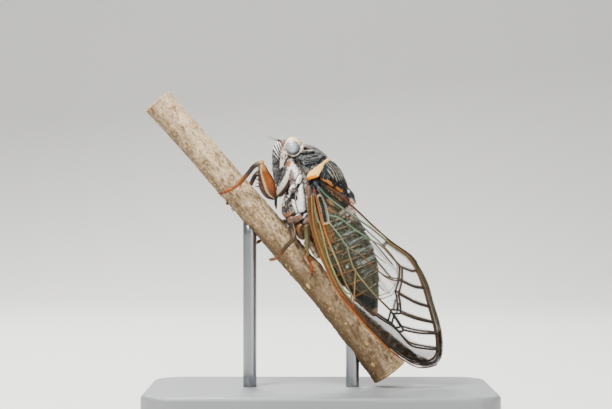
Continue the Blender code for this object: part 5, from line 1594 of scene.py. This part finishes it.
# Low knobs on it: (u, angle round it, height).
KNOBS = [
    (-14.0, 0.6, 0.35), (-3.0, 2.4, 0.3), (6.5, 5.2, 0.25), (21.0, 1.2, 0.3), (29.0, 4.1, 0.35),
    (37.5, 2.0, 0.4),
]
KNOB_LENGTH = 1.6
KNOB_SPREAD = 0.6
BRANCH_START = BRANCH_LINE[0][0]
BRANCH_END = BRANCH_LINE[-1][0]
BARK_SIDES = 150
PORE_GAP = 3.6
PORE_SIZE = (0.4, 0.27, 0.14)
BUD = [((2.3, -14.9, 0.6), 0.4), ((2.1, -15.75, 0.8), 0.2)]
# How far the sawn ends bulge, and how deep they reach into the bark.
CUT_BULGE = 0.12
CUT_DEPTH = 0.3
BASE_SIZE = (64.0, 36.0, 4.0)
BASE_CORNER = 6.0
BASE_EDGE = 0.8
ROD_RADIUS = 1.25
LONG_ROD_X = -13.0
SHORT_ROD_X = 6.0
# How deep a rod stands in the plate, and how far under the branch's middle it ends.
ROD_FOOT = 0.3
ROD_UNDER = 2.6


def branch_grid(u, angle):
    """Points on the branch at places along it and angles round it."""
    middle = smooth(BRANCH_LINE, u)
    climb = smooth(BRANCH_LINE, u + 0.5) - smooth(BRANCH_LINE, u - 0.5)
    across = np.stack([-climb, np.ones_like(climb)], -1)
    across /= np.linalg.norm(across, axis=-1)[..., None]
    radius = smooth(BRANCH_RADIUS, u)
    for knob_u, knob_angle, height in KNOBS:
        turn = (angle - knob_angle + math.pi) % (2 * math.pi) - math.pi
        radius = radius + height * np.exp(-(((u - knob_u) / KNOB_LENGTH) ** 2) - (turn / KNOB_SPREAD) ** 2)
    lift = radius * np.sin(angle)
    return np.stack([u + across[..., 0] * lift, middle + across[..., 1] * lift, radius * np.cos(angle)], -1)


def make_lenticel_tree():
    """Low oval pores strewn over bark, lying along it."""
    sockets = {"Gap": "NodeSocketFloat", "Seed": "NodeSocketInt", "Along": "NodeSocketVector",
               "Material": "NodeSocketMaterial"}
    tree, given = geometry_tree("lenticels", sockets)
    links = {"Mesh": given["Geometry"], "Distance Min": given["Gap"], "Density Max": 0.5,
             "Seed": given["Seed"]}
    spots = add(tree, "GeometryNodeDistributePointsOnFaces", links, distribute_method="POISSON")
    stand_up = add(tree, "FunctionNodeAlignRotationToVector", {"Vector": spots.outputs["Normal"]}, axis="Z")
    links = {"Rotation": stand_up.outputs[0], "Vector": given["Along"]}
    lie = add(tree, "FunctionNodeAlignRotationToVector", links, axis="X", pivot_axis="Z")
    links = {0: (0.7, 0.7, 0.6), 1: (1.5, 1.3, 1.2)}
    size = add(tree, "FunctionNodeRandomValue", links, data_type="FLOAT_VECTOR")
    bead = add(tree, "GeometryNodeMeshIcoSphere", {"Radius": 1.0, "Subdivisions": 3}).outputs[0]
    pore = add(tree, "GeometryNodeTransform", {"Geometry": bead, "Scale": PORE_SIZE}).outputs[0]
    links = {"Points": spots.outputs["Points"], "Instance": pore, "Rotation": lie.outputs[0],
             "Scale": size.outputs[0]}
    end_tree(tree, add(tree, "GeometryNodeInstanceOnPoints", links).outputs[0], given["Material"])
    return tree


def make_branch():
    """A cut length of branch, its furrowed bark strewn with pale pores."""
    u = np.linspace(BRANCH_START, BRANCH_END, 440)[:, None]
    u, angle = np.broadcast_arrays(u, turns(BARK_SIDES)[None, :])
    bark = assemble("bark", [grid_part(branch_grid(u, angle))])
    points, _ = read(bark)
    grain = points * (0.3, 1.0, 1.0)
    furrow = rough(grain, 0.4)
    fleck = rough(points * (0.5, 1.0, 1.0), 0.28, 17.0)
    # Painted shade: shaded grows from u 2 to u 20, so the bark turns darker towards its lower end, with fewer
    # pale flecks and more dark specks there.
    shaded = ramp(points[:, 0], 2, 20)
    # Painted light: pale patches grow thicker towards the branch's upper end, from u 0 to u -8.
    wear_and_light = 0.25 * ramp(points[:, 0], 0, -8)
    below = smooth(BRANCH_LINE, points[:, 0]) - points[:, 1]
    mask(bark, "furrow", 0.22 - 0.7 * furrow)
    mask(bark, "fleck", 0.17 - 0.25 * shaded + 0.8 * fleck)
    mask(bark, "speck", 0.12 + 0.12 * shaded - 0.8 * fleck)
    mask(bark, "patch", 0.35 + wear_and_light + 0.6 * rough(grain, 0.8, 11.0))
    # Painted shade: the under mask darkens the bark's lower side and its lower end, over random patches.
    mask(bark, "under", 0.26 + 0.16 * below + 0.3 * shaded + 0.26 * rough(grain, 1.0, 5.0))

    def height(points):
        to_end = np.minimum(points[:, 0] - BRANCH_START, BRANCH_END - points[:, 0])
        bumps = 0.16 * np.abs(furrow) - 0.14 + 0.07 * rough(points, 0.5) + 0.03 * rough(points, 0.2, 6.0)
        return bumps * ramp(to_end, 0, 0.5)

    relief(bark, height)
    layers = [
        ("patch", "#c4ab88", 0.3), ("under", "#5f4a30", 0.45), ("furrow", "#5f4b32", 0.3),
        ("fleck", "#c0a888", 0.3), ("speck", "#5c4630", 0.3),
    ]
    # Dry furrowed bark: rough and matt, mottled grey-brown, with painted shade making it darker below and
    # towards its lower end, and painted light making it paler towards its upper end.
    look = shell("twig_bark", "#735e40", "#ccb08a", layers, roughness=0.8, bump=0.1)
    # Corky pores: pale, dry dots that stand a little proud.
    cork = shell("pale_pore_cork", "#8f7346", "#c9a76f", [], roughness=0.85, grain=0.2)
    pores = duplicate(bark, "bark_pores")
    along = Vector((1.0, 0.13, 0.0))
    run_tree(pores, make_lenticel_tree(), {"Gap": PORE_GAP, "Seed": 4, "Along": along, "Material": cork})
    place(bark, look, "bark", "branch")
    place(pores, None, "bark")


def make_bud():
    """A small dry bud on the branch."""
    bud = assemble("bark_bud", [limb(BUD, 24, 20, [UMBER, "#4f2a14"])], coloured=True)
    relief(bud, lambda points: 0.08 * rough(points, 0.4))
    # Dry bud scales: dark brown, with hardly any shine.
    place(bud, painted("bud_scale", 0.5), "bark")


def make_cut_ends():
    """The branch's two clean sawn ends."""
    # Sawn wood: pale and matt, with faint darker growth rings.
    wood, tree, shader, where = new_material("sawn_wood")
    rings = add(tree, "ShaderNodeAttribute", attribute_name="ring").outputs["Fac"]
    waver = add(tree, "ShaderNodeTexNoise", patches(where, 0.6)).outputs["Fac"]
    rings = add(tree, "ShaderNodeMath", {0: waver, 1: 0.12, 2: rings}, operation="MULTIPLY_ADD").outputs[0]
    wave = add(tree, "ShaderNodeMath", {0: rings, 1: 34.0}, operation="MULTIPLY").outputs[0]
    wave = add(tree, "ShaderNodeMath", {0: wave}, operation="SINE").outputs[0]
    tone = blend(tree, wave, -1, 1, colour("#c9ad84"), colour("#a98a60"))
    fill(tree, shader, {"Base Color": tone, "Roughness": 0.75})
    ends = []
    radius = np.linspace(0.02, 0.985, 30)
    turn = turns(BARK_SIDES)[None, :]
    for end, outwards in ((BRANCH_START, -1), (BRANCH_END, 1)):
        rim = branch_grid(np.full_like(turn, end), turn)
        middle = np.array([end, smooth(BRANCH_LINE, end), 0.0])
        disc = middle + (rim - middle) * radius[:, None, None]
        out = np.array([outwards, 0.0, 0.0])
        face = disc + CUT_BULGE * out * ramp(radius, 1.0, 0.94)[:, None, None]
        ends.append(grid_part(np.concatenate([face, disc[::-1] - CUT_DEPTH * out])))
    cut = assemble("cut_ends", ends)
    points, _ = read(cut)
    near = np.where(points[:, 0] < 0, BRANCH_START, BRANCH_END)
    spoke = np.linalg.norm(points[:, 1:] - np.stack([smooth(BRANCH_LINE, near), near * 0], -1), axis=1)
    mask(cut, "ring", spoke / 3.6)
    place(cut, wood, "bark")


def make_plate():
    """The stand's plain plate, its corners rounded and its top edge eased."""
    bm = bmesh.new()
    bmesh.ops.create_cube(bm, size=1.0)
    bmesh.ops.scale(bm, vec=BASE_SIZE, verts=bm.verts)
    bmesh.ops.translate(bm, vec=(0, 0, BASE_SIZE[2] / 2), verts=bm.verts)
    upright = [edge for edge in bm.edges if abs(edge.verts[0].co.z - edge.verts[1].co.z) > 1]
    bmesh.ops.bevel(bm, geom=upright, offset=BASE_CORNER, segments=24, profile=0.5, affect="EDGES")
    top = [edge for edge in bm.edges if all(vert.co.z > BASE_SIZE[2] - 0.01 for vert in edge.verts)]
    bmesh.ops.bevel(bm, geom=top, offset=BASE_EDGE, segments=8, profile=0.5, affect="EDGES")
    mesh = bpy.data.meshes.new("stand_plate")
    bm.to_mesh(mesh)
    bm.free()
    # Satin lacquer: an even grey with a soft, blurred shine.
    lacquer = two_toned("satin_lacquer", 8.0, "#77797a", "#7e8081", {"Roughness": 0.45})
    place(link("stand_plate", mesh), lacquer, "stand_base", "stand_base", insect=False)


def make_rods():
    """The two upright rods that run from the plate into the branch."""
    # Satin steel: bright metal whose reflections are soft.
    steel, tree, shader, _ = new_material("satin_steel")
    fill(tree, shader, {"Metallic": 1.0, "Base Color": colour("#8f9194"), "Roughness": 0.32})
    u = np.linspace(BRANCH_START, BRANCH_END, 500)
    line = to_world(np.stack([u, smooth(BRANCH_LINE, u), u * 0], -1)) / MM
    turn = turns(64)
    for name, x in (("stand_rod_long", LONG_ROD_X), ("stand_rod_short", SHORT_ROD_X)):
        top = line[np.abs(line[:, 0] - x).argmin(), 2] - ROD_UNDER
        rings = [np.stack([x + ROD_RADIUS * np.cos(turn), ROD_RADIUS * np.sin(turn), turn * 0 + z], -1)
                 for z in np.linspace(BASE_SIZE[2] - ROD_FOOT, top, 12)]
        rod = assemble(name + "_tube", [grid_part(np.array(rings))])
        place(rod, steel, "stand_rod", name, insect=False)


# View, light and floor

# The photograph's view: the middle of its frame, its width at the insect, how far off it was taken, and the
# width of the camera's sensor.
VIEW_X = -2.6
VIEW_Z = 37.7
VIEW_WIDTH = 113.3
VIEW_DISTANCE = 300.0
SENSOR = 36.0
# Each lamp's name, place, size and power.
LAMPS = [
    ("key", (-130, -160, 380), 120, 4.6),
    ("fill", (260, -300, 150), 300, 0.8),
    ("back", (-60, 260, 320), 160, 2.6),
]
# The floor runs back from its front, bends up in a quarter circle and ends as a wall.
FLOOR_SIDE = 2500
FLOOR_FRONT = -1500
FLOOR_BACK = 300
FLOOR_BEND = 300
FLOOR_TOP = 1500


def set_view():
    """The photograph's view, of the animal's left side."""
    lens = bpy.data.cameras.new("view")
    lens.sensor_width = SENSOR
    lens.lens = SENSOR * VIEW_DISTANCE / VIEW_WIDTH
    camera = link("view", lens)
    camera.location = (VIEW_X * MM, -VIEW_DISTANCE * MM, VIEW_Z * MM)
    camera.rotation_euler = (math.pi / 2, 0, 0)
    bpy.context.scene.camera = camera


def set_light():
    """Plain soft studio light."""
    for name, spot, size, power in LAMPS:
        lamp = bpy.data.lights.new(name, "AREA")
        lamp.size = size * MM
        lamp.energy = power
        holder = link(name, lamp)
        holder.location = [value * MM for value in spot]
        aim = Vector((VIEW_X * MM, 0, VIEW_Z * MM)) - holder.location
        holder.rotation_euler = aim.to_track_quat("-Z", "Y").to_euler()
    world = bpy.data.worlds.new("studio")
    world.use_nodes = True
    fill(world.node_tree, world.node_tree.nodes["Background"], {"Color": colour("#f2f3f4"), "Strength": 0.42})
    bpy.context.scene.world = world


def lay_floor():
    """A plain pale floor that turns up behind into a wall."""
    bend = np.linspace(0, math.pi / 2, 24)[1:]
    profile = [(FLOOR_FRONT, 0), (FLOOR_BACK, 0)]
    profile += [(FLOOR_BACK + FLOOR_BEND * math.sin(a), FLOOR_BEND * (1 - math.cos(a))) for a in bend]
    profile.append((FLOOR_BACK + FLOOR_BEND, FLOOR_TOP))
    grid = np.array([[(x, y, z) for x in (-FLOOR_SIDE, FLOOR_SIDE)] for y, z in profile], float)
    floor = assemble("floor", [grid_part(grid, wrap=False, caps=False)])
    floor.data.vertices.foreach_set("co", (read(floor)[0] * MM).ravel())
    floor.data.update()
    # Matt backdrop paper: an even pale grey without shine.
    paper = two_toned("backdrop_paper", 60, "#dfded9", "#e4e3de", {"Roughness": 0.9})
    floor.data.materials.append(paper)


for make in (set_view, set_light, lay_floor, make_head, make_nose, make_eyes, make_ocelli, make_feelers,
             make_beak, make_pronotum, make_mesonotum, make_crest, make_thorax, make_abdomen, make_covers,
             make_wings, make_hinges, make_legs, make_branch, make_bud, make_cut_ends, make_plate, make_rods):
    make()
